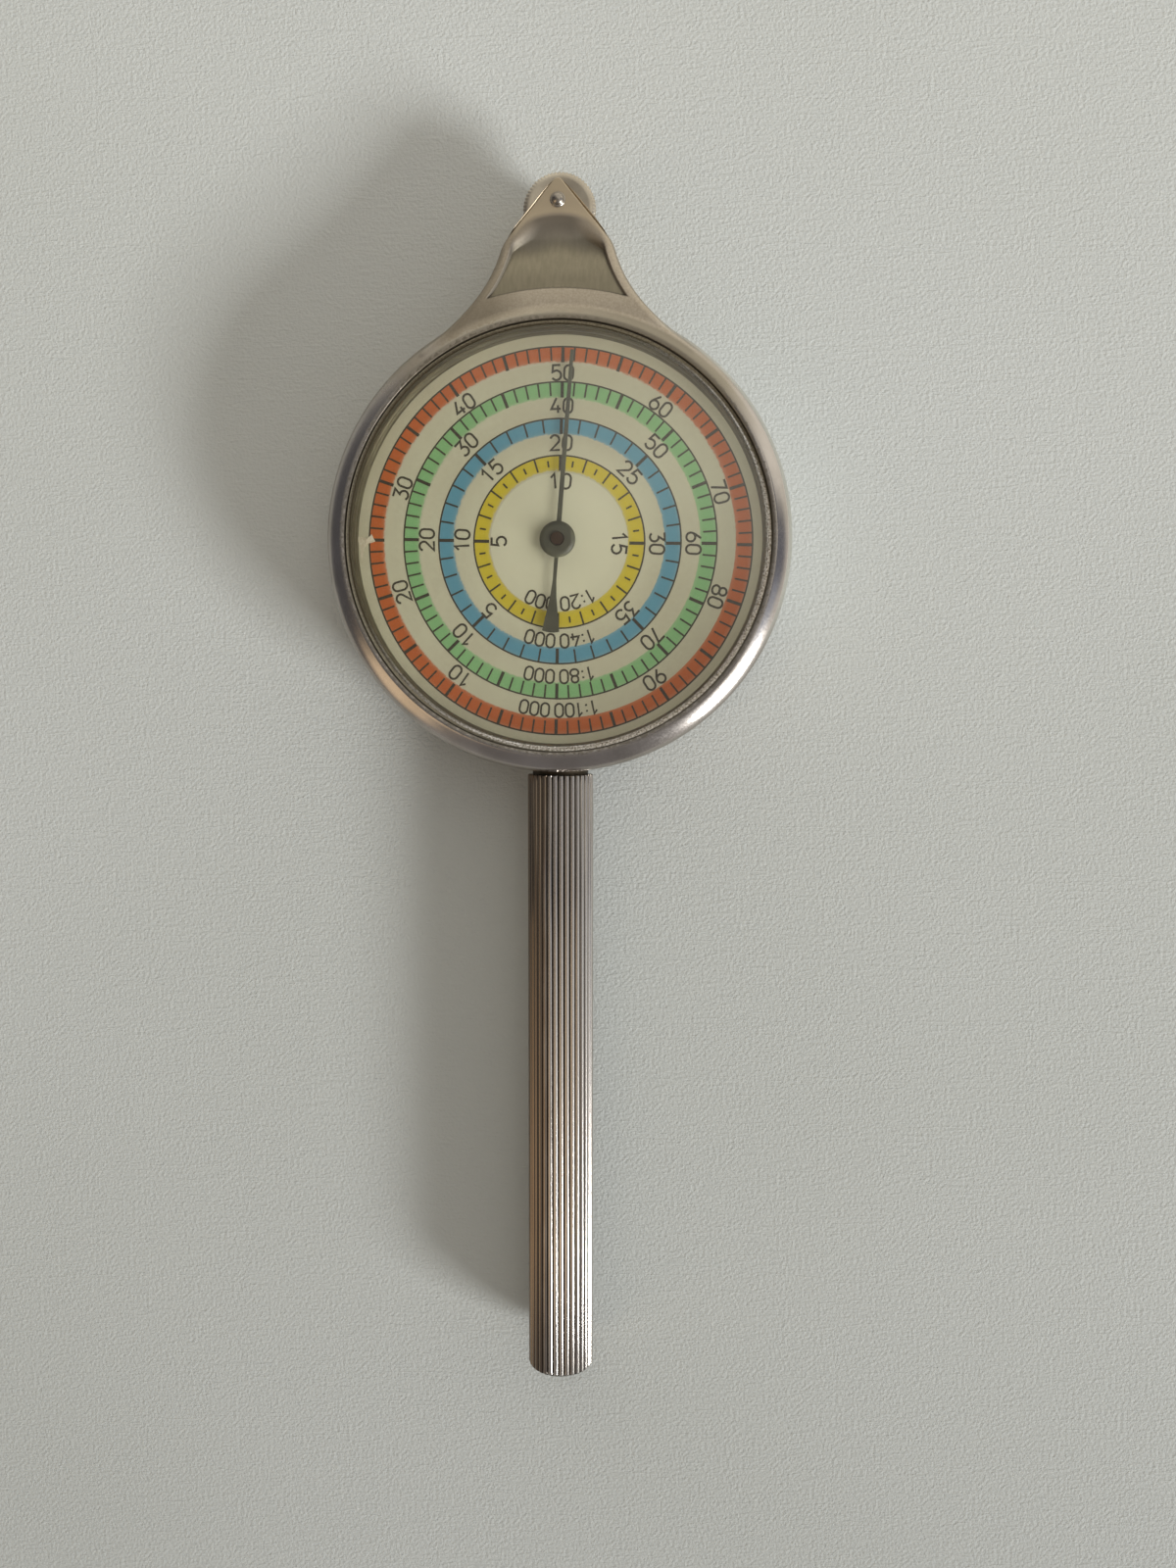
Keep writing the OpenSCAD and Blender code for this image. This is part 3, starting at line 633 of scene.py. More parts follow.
def sunk_panel(x, y, radius, distance):
    """How far the nose is sunk from 0 to 1, how deep, and dirt and painted shade along the foot of its
    walls, with a painted dark crescent under the arch.
    """
    toward_ear = smoothstep((y - 24.3) / 1.6)
    wall = distance - PANEL_BORDER + 0.3 * toward_ear
    side = smoothstep(wall / (0.2 + 1.1 * toward_ear))
    start = smoothstep((radius - PANEL_START_R) / 0.2)
    up = np.maximum(y - ARCH_Y, 0) / ARCH_HALF_H
    reach = np.hypot(np.where(up > 0, x / ARCH_HALF_W, 0), up)
    upward = up / np.maximum(reach, 0.01)
    below_arch = ARCH_HALF_H * (1 - reach)
    arch = smoothstep(below_arch / (0.3 + 2.0 * upward ** 2))
    depth = PANEL_DEPTH + PANEL_DROP * smoothstep((y - 22) / 3.2)
    # Dirt and painted shade along the foot of the panel's walls and its lower edge.
    foot = np.exp(-((wall - 0.12) / 0.12) ** 2) * start * arch * (1 - toward_ear)
    heel = np.exp(-((radius - PANEL_START_R - 0.1) / 0.1) ** 2) * side
    # Painted shade: a dark crescent under the arch, where the panel rises to the ear, stands in for a dark
    # reflection.
    crescent = smoothstep((below_arch + 0.4) / 0.6) * smoothstep((3.4 - below_arch) / 2.7)
    crescent = crescent * smoothstep((wall + 0.3) / 0.4) * smoothstep((y - 23.6) / 1.7)
    crescent = crescent * (1 - 0.55 * smoothstep((np.abs(x + 0.2) - 1.2) / 2.2))
    return side * start * arch, depth, np.clip(0.65 * foot + 0.4 * heel + 0.82 * crescent, 0, 1)


def wall_rings(theta, radius, heights):
    """Rings of the case's upright side at some heights, which may differ round the case."""
    return [np.stack([radius * np.sin(theta), radius * np.cos(theta), np.broadcast_to(z, theta.shape)], 1)
            for z in heights]


def round_rings(theta, profile):
    """Rings of a round surface from a profile of (radius, height)."""
    return [wall_rings(theta, np.full(theta.shape, r), [z])[0] for r, z in profile]


def side_walls(theta, start_z, seam_z):
    """The case's upright side from the end of a surface to the bevelled seam between the shells."""
    edge = outline_radius(theta)
    upright = wall_rings(theta, edge, [start_z + (seam_z - start_z) * t for t in (0.2, 0.4, 0.6, 0.8, 1)])
    return upright + wall_rings(theta, edge - SEAM, [SPLIT_Z])


def front_case_shape():
    """Front shell: rounded rim, nose with a sunk panel and the front ear; also its values by point."""
    theta = polar_lines()
    lip = [(LIP_R + 0.07 * (1 - cos(t)), CASE_H - 0.12 + 0.1 * sin(t))
           for t in 0.5 * pi * np.linspace(0, 1, 9)[:-1]]
    angle, radius, x, y, distance = surface_grid(CREST_R, 150)
    rim = CASE_H - rim_fall(rim_share(angle, radius, CREST_R))
    nose = ramp_to_ears(y, NOSE_TOP_Z, EAR_TOP_Z) - edge_fall(distance, angle, y, 0.6, 0.5)
    nose = nose - fades_off(angle)
    sunk, depth, painted_shade_and_dirt = sunk_panel(x, y, radius, distance)
    top = smooth_max(rim, nose, 0.25) - depth * sunk
    surface = list(np.stack([x, y, top], 2))
    walls = side_walls(theta, top[-1], SPLIT_Z + SEAM)
    inside = round_rings(theta, [(CAVITY_R, SPLIT_Z), (CAVITY_R, LIP_Z), (LIP_R, LIP_Z)])
    before, after = np.zeros(len(theta) * len(lip)), np.zeros(len(theta) * len(walls + inside))
    values = {"painted_shade_and_dirt": np.concatenate([before, painted_shade_and_dirt.ravel(), after]),
              "panel": np.concatenate([before, sunk.ravel(), after])}
    return skin(round_rings(theta, lip) + surface + walls + inside, torus=True), values


def rear_case_shape():
    """Rear shell: flat back, rounded edge, underside of the nose, rear ear, spigot and cavity."""
    theta = polar_lines()
    angle, radius, x, y, distance = surface_grid(BACK_R, 110)
    share = rim_share(angle, radius, BACK_R)
    bowl = BACK_ROUND_H * (1 - np.sqrt(1 - np.clip(share, 0, 1) ** 2)) + 7 * np.maximum(share - 1, 0)
    nose = ramp_to_ears(y, 0.1, REAR_EAR_Z) + edge_fall(distance, angle, y, 0.5, 0.5) + fades_off(angle)
    under = np.maximum(smooth_min(bowl, nose, 0.1), 0)
    spigot_in, ledge_z = SPIGOT_R - SPIGOT_T, SPLIT_Z - SPIGOT_H
    spigot = [(SPIGOT_R, SPLIT_Z), (SPIGOT_R, SPLIT_Z + SPIGOT_H), (spigot_in, SPLIT_Z + SPIGOT_H),
              (spigot_in, ledge_z), (CAVITY_R, ledge_z - SPIGOT_T)]
    bowl_in = [(BACK_R + 2.0 * cos(t), BACK_T + 1.8 * (1 - sin(t))) for t in np.linspace(0, pi / 2, 9)]
    rings = round_rings(theta, [(4, 0), (11, 0), (16.5, 0)]) + list(np.stack([x, y, under], 2))
    rings += side_walls(theta, under[-1], SPLIT_Z - SEAM)
    return skin(rings + round_rings(theta, spigot + bowl_in + [(8, BACK_T), (1, BACK_T)]), poles=True)


def nose_hollow(low, high):
    """The room in the nose for the gears, from inside the case up to where the solid ears start."""
    end_y = 25.22
    half = nose_half(0.6, 24)
    half = half[half[:, 1] < end_y]
    half = np.concatenate([half[:1] * 0.97, half, [[half[-1, 0] - 0.05, end_y]]])
    return prism([tuple(p) for p in half] + [(-px, py) for px, py in half[::-1]], low, high)


def shell_cuts():
    """The wheel's room between the ears, its pin's hole and the seat of the handle's stud."""
    seat_r, neck_r, hole_r, wheel_gap = 2.52, 0.97, 0.47, 0.35
    seat = turned_to_minus_y(disc(seat_r, CASE_R - 0.25, CASE_R + 1), SPLIT_Z)
    neck = turned_to_minus_y(disc(neck_r, CASE_R - 2.4, CASE_R + 1), SPLIT_Z)
    well = disc(WHEEL_R + wheel_gap, EAR_GAP_LOW, EAR_GAP_HIGH, (0, WHEEL_Y))
    hole = disc(hole_r, -1, CASE_H + 1, (0, WHEEL_Y))
    return [seat, neck, well, hole]


def make_case():
    """Front and rear shell, hollow inside, with room for the gears that reach past the cavity."""
    front, values = front_case_shape()
    piece("front_case", front, "case", [nickel("nickel_front")], ["front_shell"],
          cuts=[nose_hollow(SPLIT_Z - 1, EAR_GAP_HIGH + 0.6)] + shell_cuts(), values=values)
    first, second = joint_mm("first_gear_turn")[:2], joint_mm("second_gear_turn")[:2]
    first_room_r, second_room_r = 5.15, 6.66
    gear_rooms = [disc(first_room_r, 3.21, CASE_H, first), disc(second_room_r, 2.15, 2.9, second)]
    piece("back_case", rear_case_shape(), "case", [nickel("nickel_back", front=False)],
          ["rear_shell"], cuts=[nose_hollow(1.05, SPLIT_Z + 1.9)] + shell_cuts() + gear_rooms)


def make_glass():
    """Domed glass with a ground edge, held by a flange under the rim's lip."""
    edge_z = 8.3
    flange_top = GLASS_Z + 0.4
    land_r = LIP_R - 0.05
    in_r, in_top = 17.9, GLASS_TOP - 0.65
    inner = [(in_r * t, GLASS_Z + (in_top - GLASS_Z) * (1 - t * t)) for t in np.linspace(0.02, 1, 24)]
    flange = [(SPIGOT_R, GLASS_Z), (SPIGOT_R, flange_top), (land_r, flange_top), (land_r, edge_z - 0.1),
              (DOME_R + 0.16, edge_z - 0.16)]
    dome = [(DOME_R * t, edge_z + (GLASS_TOP - edge_z) * (1 - t * t)) for t in np.linspace(1, 0.02, 30)]
    glass = piece("glass", revolve(inner + flange + dome, poles=True), "case",
                  [clear_glass(), ground_edge()], ["crystal"], crease=25)
    for face in glass.data.polygons:
        middle = face.center / MM
        on_edge = hypot(middle.x, middle.y) > in_r - 0.1
        if on_edge and (middle.z < edge_z - 0.01 or face.normal.z < 0.8):
            face.material_index = 1


def make_reflector():
    """Turned ring between the dial and the glass, with two fine steps on its cone."""
    low_r, high_r = 17.7, 17.9
    top_z = GLASS_Z - 0.04
    step = 0.03
    cone = []
    for start, end in ((0, 0.32), (0.36, 0.66), (0.7, 1)):
        for t in (start, end):
            out = step if t == start > 0 else 0
            cone.append((low_r + (high_r - low_r) * t + out, DIAL_TOP + (top_z - DIAL_TOP) * t))
    outer = [(SPIGOT_R, top_z), (SPIGOT_R, DIAL_TOP)]
    piece("reflector", revolve(cone + outer, 256, torus=True), "case", [reflector_metal()],
          ["reflector_ring"], crease=25)


def ribbon(path, width, low, high, closed=False):
    """A flat bar along a line of (x, y) points, between two heights."""
    path = np.array(path, float)
    if closed:
        ahead, behind = np.roll(path, -1, axis=0), np.roll(path, 1, axis=0)
    else:
        ahead, behind = np.vstack([path[1:], path[-1:]]), np.vstack([path[:1], path[:-1]])
    step_in, step_out = path - behind, ahead - path
    if not closed:
        step_in[0], step_out[-1] = step_out[0], step_in[-1]
    step_in /= np.linalg.norm(step_in, axis=1)[:, None]
    step_out /= np.linalg.norm(step_out, axis=1)[:, None]
    along = step_in + step_out
    along /= np.linalg.norm(along, axis=1)[:, None]
    mitre = 1 / np.maximum((along * step_in).sum(1), 0.5)
    side = np.stack([-along[:, 1], along[:, 0]], 1) * (0.5 * width * mitre)[:, None]
    rings = [[(*(p - s), low), (*(p + s), low), (*(p + s), high), (*(p - s), high)]
             for p, s in zip(path, side)]
    return skin(rings, torus=closed)


def arc(cx, cy, rx, start, end, ry=None, steps=12):
    """Points of an arc from one angle to another, in degrees anticlockwise from +X."""
    ry = ry or rx
    angles = [radians(a) for a in np.linspace(start, end, steps + 1)]
    return [(cx + rx * cos(a), cy + ry * sin(a)) for a in angles]


def turned_over(strokes):
    return [[(-x, 1 - y) for x, y in stroke] for stroke in strokes]


# Centre lines of the digits, on a height of 1, about their middle
SIX = [arc(0, 0.3, 0.3, 127, 487, steps=24), [(-0.28, 0.42), (-0.2, 0.58), (0.1, 1)]]
DIGITS = {
    "0": [arc(0, 0.69, 0.3, 0, 180, 0.31) + arc(0, 0.31, 0.3, 180, 360, 0.31) + [(0.3, 0.69)]],
    "1": [[(-0.2, 0.74), (0.06, 1), (0.06, 0)]],
    "2": [arc(0, 0.7, 0.3, 165, -35) + [(-0.31, 0), (0.31, 0)]],
    "3": [[(-0.27, 1), (0.27, 1), (0, 0.6)] + arc(0, 0.3, 0.3, 80, -145)],
    "4": [[(0.06, 1), (-0.31, 0.27), (0.33, 0.27)], [(0.14, 0.52), (0.14, 0)]],
    "5": [[(0.27, 1), (-0.22, 1), (-0.26, 0.55)] + arc(0, 0.32, 0.32, 125, -150)],
    "6": SIX,
    "7": [[(-0.3, 1), (0.3, 1), (-0.08, 0)]],
    "8": [arc(0, 0.745, 0.26, 0, 360, 0.255, 20), arc(0, 0.26, 0.31, 0, 360, 0.26, 20)],
    "9": turned_over(SIX),
    ":": [[(0, 0.18), (0, 0.32)], [(0, 0.63), (0, 0.77)]],
    " ": [],
}

# The dial's print: rings by outer radius, number of parts, how they are numbered, and their middle
PRINT_TURN = radians(1.1)
BAND_W = 1.43
LINE_W = 0.14
MARK_W, HEAVY_MARK_W = 0.16, 0.28
PRINT_LOW = DIAL_TOP - 0.01
INK_Z = DIAL_TOP + 0.014
RINGS = [
    {"name": "red", "colour": linear(184, 92, 26), "r": 16.87, "parts": 100, "middle": (0.08, -0.12),
     "labels": 10, "last": 90, "turn": 100, "label_r": 14.6, "scale": "1:100 000"},
    {"name": "green", "colour": linear(130, 177, 113), "r": 13.8, "parts": 80, "middle": (0.08, -0.04),
     "labels": 10, "last": 70, "turn": 80, "label_r": 11.72, "scale": "1:80 000"},
    {"name": "blue", "colour": linear(90, 145, 159), "r": 10.7, "parts": 40, "middle": (0.065, -0.07),
     "labels": 5, "last": 35, "turn": 40, "label_r": 8.57, "scale": "1:40 000"},
    {"name": "yellow", "colour": linear(202, 181, 30), "r": 7.56, "parts": 40, "middle": (0.04, -0.1),
     "labels": 5, "last": 15, "turn": 20, "label_r": 5.3, "scale": "1:20 000"},
]


def on_dial(alpha, radius, middle, sideways=0.0):
    """Point at an angle clockwise from a ring's lowest point, moved sideways along the tangent."""
    turned = alpha + PRINT_TURN
    outward = np.array([-sin(turned), -cos(turned)])
    tangent = np.array([-cos(turned), sin(turned)])
    return np.array(middle) + radius * outward + sideways * tangent


def circle_on_dial(radius, middle):
    return [on_dial(a, radius, middle) for a in np.linspace(0, 2 * pi, 241)[:-1]]


def printed_text(text, alpha, radius, middle, height, stroke, advances):
    """Digits whose tops point outward, each at its own angle, centred on alpha."""
    widths = [advances.get(sign, advances["0"]) for sign in text]
    place = -sum(widths) / 2
    shapes = []
    for sign, width in zip(text, widths):
        angle = alpha + (place + width / 2) / radius
        for number, line in enumerate(DIGITS[sign]):
            path = [on_dial(angle, radius + (v - 0.5) * height, middle, u * height) for u, v in line]
            closed = hypot(*(path[0] - path[-1])) < 0.02
            top = INK_Z - 0.0008 * number
            shapes.append(ribbon(path[:-1] if closed else path, stroke, PRINT_LOW, top, closed))
        place += width
    return shapes


def ring_marks(ring):
    """Outer line and division marks of one ring."""
    outer, parts, middle = ring["r"], ring["parts"], ring["middle"]
    line_r = outer - LINE_W / 2
    shapes = [ribbon(circle_on_dial(line_r, middle), LINE_W, PRINT_LOW, INK_Z, closed=True)]
    yellow = ring["name"] == "yellow"
    for i in range(parts):
        heavy = i % (10 if yellow else 5) == 0
        start, end = line_r, outer - BAND_W * (0.98 if heavy else 0.88)
        if yellow and i % 2:
            start, end = outer - 0.48, outer - 1.03
        alpha = 2 * pi * i / parts
        mark = [on_dial(alpha, start, middle), on_dial(alpha, end, middle)]
        shapes.append(ribbon(mark, HEAVY_MARK_W if heavy else MARK_W, PRINT_LOW, INK_Z - 0.001))
    return shapes


def make_print():
    """Coloured bands, their marks, and the numbers and scales inside them."""
    ink = printed_ink()
    marks, numbers = [], []
    number_h, number_stroke, number_steps = 1.28, 0.19, {"0": 1.07}
    scale_h, scale_stroke, scale_steps = 1.18, 0.175, {"0": 0.94, "1": 0.77, ":": 0.52, " ": 0.31}
    for ring in RINGS:
        middle, label_r = ring["middle"], ring["label_r"]
        inner, outer = ring["r"] - BAND_W - 0.1, ring["r"] - 0.02
        band = ribbon(circle_on_dial((outer + inner) / 2, middle), outer - inner, PRINT_LOW,
                      DIAL_TOP + 0.008, closed=True)
        piece(f"band_{ring['name']}", band, "case",
              [printed_band(f"print_{ring['name']}", ring["colour"], inner)])
        marks += ring_marks(ring)
        for value in range(ring["labels"], ring["last"] + 1, ring["labels"]):
            numbers += printed_text(str(value), 2 * pi * value / ring["turn"], label_r, middle,
                                    number_h, number_stroke, number_steps)
        numbers += printed_text(ring["scale"], -0.17 / label_r, label_r + 0.08, middle,
                                scale_h, scale_stroke, scale_steps)
    piece("dial_marks", merged(marks), "case", [ink])
    piece("dial_numbers", merged(numbers), "case", [ink])


def make_chip():
    """Curled flake of card that lies on the dial's left edge, with a thin tail."""
    outline = [(-17.75, 0.5), (-17.2, 0.4), (-16.85, 0.35), (-16.5, 0.72), (-16.4, 0.45), (-16.2, 0.08),
               (-16.5, -0.05), (-16.9, -0.12), (-17.2, -0.45), (-17.35, -0.9), (-17.42, -1.7),
               (-17.52, -1.0), (-17.58, -0.3), (-17.7, 0.1)]
    middle = np.mean(outline, axis=0)
    rings = [[(*p, PRINT_LOW) for p in outline], [(*p, DIAL_TOP + 0.05) for p in outline]]
    rings.append([(*(middle + 0.7 * (np.array(p) - middle)), DIAL_TOP + 0.06 + 0.12 * (p[0] > -16.9))
                  for p in outline])
    paint = Paint("flake", Roughness=0.5)
    grain = paint.noise(5.0, detail=4)
    paint.put(Base_Color=paint.tone(grain, linear(212, 202, 174), linear(190, 176, 146), 0.3, 0.7))
    piece("dial_chip", skin(rings, poles=True), "case", [paint.material])


def make_hand():
    """Pointer with a thin tail that widens to a flat end, and its domed boss."""
    low, high = box_mm("hand")
    z_low, z_high = low[2], high[2]
    turn = radians(-4.5)
    tip_y, tail_y = 16.15, -8.05
    half = [(0.15, tip_y), (0.19, 8), (0.21, 1.2), (0.17, -1.56), (0.15, -3.5), (0.28, -5), (0.5, -6.4),
            (0.75, tail_y + 0.12), (0.4, tail_y + 0.03), (0, tail_y)]
    outline = half + [(-x, y) for x, y in half[-2::-1]]
    turned = [(x * cos(turn) - y * sin(turn), x * sin(turn) + y * cos(turn)) for x, y in outline]
    black = plain_metal("hand_black", linear(84, 82, 62), linear(66, 63, 48), 0.5, metallic=0.0,
                        relief=0.004)
    pointer = piece("pointer", prism(turned, z_low, z_high), "hand", [black], ["hand"],
                    cuts=[disc(0.87, z_low - 1, z_high + 1)], crease=30)
    bevel = pointer.modifiers.new("bevel", "BEVEL")
    bevel.width = 0.03 * MM
    bevel.segments = 2
    bevel.limit_method = "ANGLE"
    boss_low, boss_high = box_mm("hand_boss")
    top, r, neck, bore = boss_high[2], boss_high[0], 0.85, 0.57
    crown = [(r - 0.5 * (1 - cos(t)), top - 0.35 + 0.35 * sin(t)) for t in np.linspace(0, pi / 2, 9)]
    profile = [(bore, boss_low[2]), (neck, boss_low[2]), (neck, z_high), (r - 0.05, z_high)]
    profile += [(r, z_high + 0.05)] + crown + [(bore + 0.06, top), (bore, top - 0.06)]
    piece("pointer_boss", revolve(profile, 96, torus=True), "hand", [black], ["hand_boss"])


def make_wheel():
    """Tracing wheel with fine teeth milled round its rim."""
    low, high = WHEEL_LOW[2], WHEEL_HIGH[2]
    mid, bore, hub, web, rim = (low + high) / 2, 0.97, 1.75, 0.34, 0.45
    upper = [(bore, high - 0.05), (bore + 0.05, high), (hub - 0.05, high), (hub, high - 0.05),
             (hub + 0.2, mid + web), (WHEEL_R - 0.6, mid + rim - 0.02), (WHEEL_R - 0.4, mid + rim),
             (WHEEL_R - 0.2, mid + rim - 0.07), (WHEEL_R, mid + rim - 0.2)]
    profile = upper + [(r, 2 * mid - z) for r, z in upper[::-1]]
    teeth, tooth_h, count = 60, 0.1, 480
    angles = 2 * pi * np.arange(count) / count
    tooth = np.clip(np.abs((angles * teeth / (2 * pi)) % 1 - 0.5) * 2 / 0.7, 0, 1)
    rings = []
    for r, z in profile:
        reach = np.minimum(r, WHEEL_R - tooth_h * (1 - tooth))
        x, y = reach * np.cos(angles), WHEEL_Y + reach * np.sin(angles)
        rings.append(np.stack([x, y, np.full(count, z)], 1))
    satin = plain_metal("wheel_nickel", linear(198, 189, 173), linear(182, 172, 156), 0.38)
    piece("measuring_wheel", skin(rings, torus=True), "tracing_wheel", [satin],
          ["tracing_wheel"])


def make_pin():
    """Pin of the wheel with a domed head on a collar on each ear."""
    dome = [(0.66, 0), (0.66, 0.06), (0.61, 0.11), (0.52, 0.12)]
    dome += [(0.5 * cos(t), 0.14 + 0.28 * sin(t)) for t in np.linspace(0, radians(84), 9)]
    above = [(r, EAR_TOP_Z + z) for r, z in dome]
    below = [(r, REAR_EAR_Z - z) for r, z in dome[::-1]]
    shank = [(0.45, REAR_EAR_Z), (0.45, EAR_TOP_Z)]
    steel = plain_metal("pin_steel", linear(166, 158, 148), linear(134, 126, 116), 0.3)
    shape = revolve(below + shank + above, 64, poles=True, middle=(0, WHEEL_Y))
    piece("axle_pin", shape, "case", [steel], ["wheel_pin"])


def make_handle():
    """Ribbed handle with a rounded free end and a bore for the stud."""
    start, end = -HANDLE_HIGH[1], -HANDLE_LOW[1]
    ribs, rib_h, bore_wall, bore_depth, end_round = 34, 0.2, 1.72, 12.5, 0.35
    count = ribs * 12
    angles = 2 * pi * np.arange(count) / count
    share = np.abs((angles * ribs / (2 * pi)) % 1 - 0.5) * 2
    ribbed = HANDLE_R - rib_h * (1 - share) ** 2.2
    smooth_r = HANDLE_R - rib_h

    def ring(shrink, along, ribby=1.0):
        reach = smooth_r + (ribbed - smooth_r) * ribby - shrink
        return np.stack([reach * np.cos(angles), reach * np.sin(angles), np.full(count, along)], 1)

    rings = [ring(HANDLE_R - bore_wall - rib_h, along, 0.0) for along in (start + bore_depth, start)]
    rings += [ring(0.1, start), ring(0.0, start + 0.08)]
    rings += [ring(0.0, start + (end - start) * t) for t in (0.25, 0.5, 0.75)]
    for t in np.linspace(0, pi / 2, 7):
        rings.append(ring(end_round * (1 - cos(t)), end - end_round + end_round * sin(t), 1 - 0.6 * sin(t)))
    rings.append(ring(1.2, end, 0.0))
    shape = turned_to_minus_y(skin(rings, poles=True), SPLIT_Z)
    piece("ribbed_handle", shape, "case", [handle_chrome()], ["handle"], crease=40)


def paint_cad():
    """Materials of the CAD pieces that stay."""
    brass = plain_metal("brass", linear(206, 174, 110), linear(180, 146, 84), 0.3)
    steel = plain_metal("steel", linear(190, 188, 184), linear(160, 156, 150), 0.28)
    looks = {
        "dial": dial_card(),
        "handle_stud": plain_metal("dark_steel", linear(74, 66, 54), linear(52, 46, 38), 0.5),
        "centre_arbor": plain_metal("arbor_bronze", linear(112, 92, 72), linear(84, 66, 50), 0.4),
    }
    for name in ("dial_feet", "front_plate", "rear_plate", "plate_pillars", "wheel_pinion", "first_gear",
                 "second_gear", "centre_gear"):
        looks[name] = brass
    for name in ("pillar_screws", "first_pinion", "first_arbor", "second_pinion", "second_arbor"):
        looks[name] = steel
    for name, material in looks.items():
        node = frame["nodes"][name]
        if not node.material_slots:
            node.data.materials.append(material)
        for slot in node.material_slots:
            slot.material = material


def make_floor():
    """Pale painted paper with a fine relief and faint creases, with painted shade that darkens it towards
    the lower edge.
    """
    mesh = bpy.data.meshes.new("floor")
    corners = [(-1.5, -1.5, 0), (1.5, -1.5, 0), (1.5, 1.5, 0), (-1.5, 1.5, 0)]
    mesh.from_pydata(corners, [], [(0, 1, 2, 3)])
    paint = Paint("painted_paper", Roughness=0.75)
    wavy = paint.noise(0.55, detail=4, stretch=(0.3, 2.2, 1))
    crease = paint.span(paint.math("ABSOLUTE", paint.math("SUBTRACT", wavy, 0.5)), 0.0, 0.05, 1.0, 0.0)
    pale = paint.tone(paint.noise(0.012, detail=2), linear(206, 209, 206), linear(201, 204, 200))
    # Painted shade: the paper is painted darker towards the lower edge.
    painted_shade_lower = paint.span(paint.axis("Y"), -95, 45, 0.74, 1.0)
    paint.put(Base_Color=paint.node("VectorMath", "SCALE", Vector=pale, Scale=painted_shade_lower).outputs[0],
              Normal=paint.bump(crease, 0.012, over=paint.bump(paint.noise(3.3, detail=5), 0.1)))
    mesh.materials.append(paint.material)
    placed("floor", mesh)


# Parts of the room: azimuth from +X and height above the floor in degrees, half width, brightness
ROOM = [
    (70, 25, 80, (1.22, 1.18, 1.06)),
    (65, 45, 38, (0.85, 0.82, 0.74)),
    (180, 30, 70, (0.12, 0.12, 0.13)),
    (165, 72, 20, (0.14, 0.14, 0.13)),
    (-90, 30, 55, (0.23, 0.22, 0.22)),
    (-147, 20, 17, (1.30, 1.02, 0.70)),
    (-147, 40, 17, (1.30, 1.02, 0.70)),
    (-147, 60, 14, (1.30, 1.02, 0.70)),
    (4, 26, 18, (0.18, 0.19, 0.24)),
    (8, 48, 22, (0.18, 0.19, 0.24)),
    (-14, 28, 12, (0.50, 0.56, 0.70)),
    (-90, 82, 24, (0.24, 0.23, 0.23)),
]
PLAIN_SKY = (0.84, 0.81, 0.75, 1.0)
BEHIND_FLOOR = (0.6, 0.6, 0.57, 1.0)


def direction(azimuth, elevation):
    """Unit vector at an azimuth from +X and a height above the floor, in degrees."""
    flat = cos(radians(elevation))
    return flat * cos(radians(azimuth)), flat * sin(radians(azimuth)), sin(radians(elevation))


def group(name, objects, state):
    """A collection of objects that a lamp is linked to, or is kept from."""
    collection = bpy.data.collections.new(name)
    for obj in objects:
        collection.objects.link(obj)
    for row in collection.collection_objects:
        row.light_linking.link_state = state
    return collection


def add_window(name, way, strength, width, height):
    """A window seen from the object in a direction, with its strength and its size at one metre."""
    away = 2.2
    lamp = bpy.data.lights.new(name, "AREA")
    lamp.shape = "RECTANGLE"
    lamp.size, lamp.size_y = width * away, height * away
    lamp.energy = strength * away ** 2
    lamp.color = (0.97, 0.99, 1.0)
    window = placed(name, lamp)
    window.location = [away * c for c in way]
    window.rotation_mode = "QUATERNION"
    window.rotation_quaternion = window.location.to_track_quat("Z", "Y")
    return window.light_linking


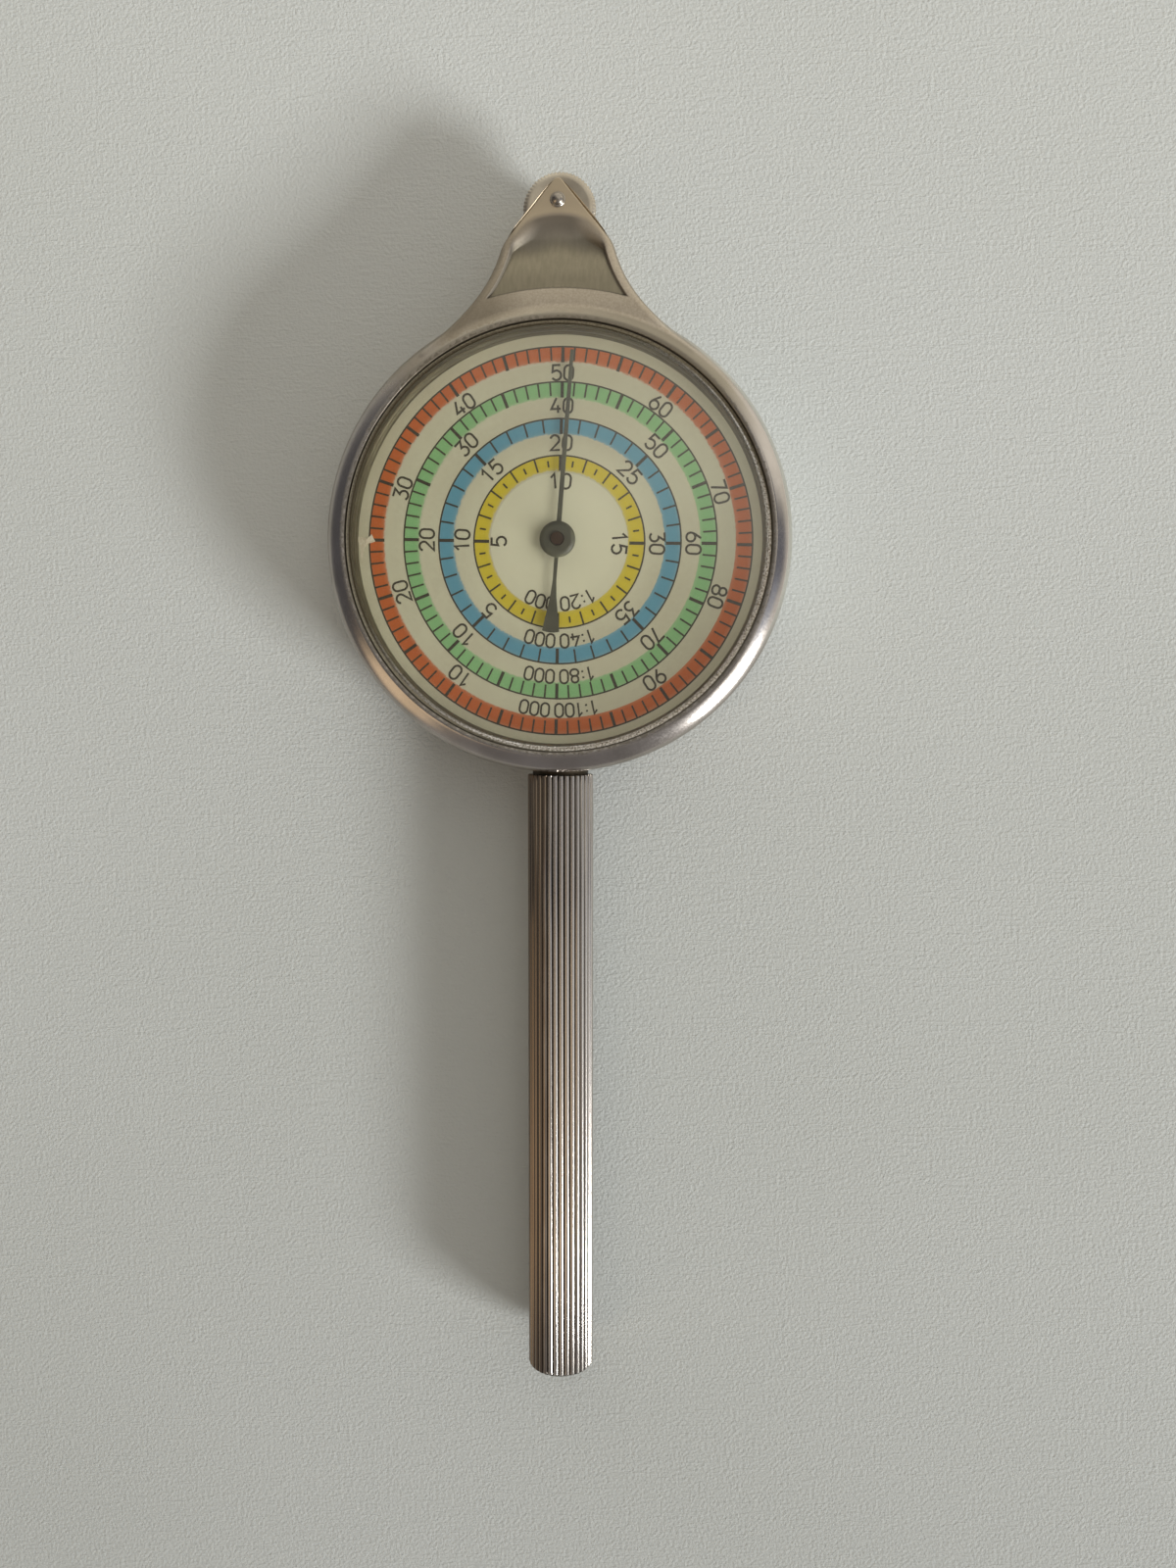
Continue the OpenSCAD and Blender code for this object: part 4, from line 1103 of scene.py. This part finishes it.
def make_windows():
    """A window to the lower right, and its light on the dial.

    The domed glass bends that light over the rim onto the dial. A lamp of its own stands for this, and
    the dial's face is lit by that lamp alone.
    """
    objects = bpy.data.objects
    printed = ["dial_marks", "dial_numbers", "dial_chip"] + [f"band_{ring['name']}" for ring in RINGS]
    dial_face = [frame["nodes"]["dial"]] + [objects[name] for name in printed]
    over_dial = [objects["pointer"], objects["pointer_boss"]]
    straight = add_window("window", direction(-36.5, 20.7), 10.6, 0.34, 0.17)
    straight.receiver_collection = group("not_lit_by_window", dial_face, "EXCLUDE")
    bent = add_window("window_through_glass", direction(-14, 52), 4.85, 0.7, 0.5)
    bent.receiver_collection = group("lit_through_glass", dial_face, "INCLUDE")
    bent.blocker_collection = group("shading_the_dial", over_dial, "INCLUDE")


def make_room():
    """A room with pale and dark parts for the metal to reflect, each fading out over its half width."""
    world = bpy.data.worlds.new("room")
    bpy.context.scene.world = world
    world.use_nodes = True
    tree = world.node_tree
    outward = add_node(tree, "TexCoord").outputs["Generated"]
    way = add_node(tree, "VectorMath", "NORMALIZE", n0=outward).outputs[0]
    sky = PLAIN_SKY
    for azimuth, elevation, wide, colour in ROOM:
        near = add_node(tree, "VectorMath", "DOT_PRODUCT", n0=way, n1=direction(azimuth, elevation))
        share = add_node(tree, "MapRange", n0=near.outputs["Value"], n1=cos(radians(wide)),
                         n2=cos(radians(0.35 * wide)))
        share.interpolation_type = "SMOOTHSTEP"
        sky = add_node(tree, "MixRGB", n0=share.outputs[0], n1=sky, n2=(*colour, 1.0)).outputs[0]
    seen = add_node(tree, "LightPath").outputs["Is Camera Ray"]
    sky = add_node(tree, "MixRGB", n0=seen, n1=sky, n2=BEHIND_FLOOR).outputs[0]
    background = next(n for n in tree.nodes if n.type == "BACKGROUND")
    feed(tree, background.inputs["Color"], sky)


def make_camera():
    """Camera at the photograph's place, from a pinhole fit to the dial's rings and the outline."""
    data = bpy.data.cameras.new("camera")
    data.lens = 27.9
    data.clip_start = 0.005
    camera = placed("camera", data)
    camera.location = (8.296 * MM, -15.105 * MM, 113.471 * MM)
    camera.rotation_mode = "ZYX"
    camera.rotation_euler = (-0.0577, 0.0531, 0.0036)
    bpy.context.scene.camera = camera


make_camera()
make_floor()
make_case()
make_glass()
make_reflector()
make_print()
make_chip()
make_hand()
make_wheel()
make_pin()
make_handle()
paint_cad()
make_windows()
make_room()
bpy.context.scene.view_settings.view_transform = "Standard"
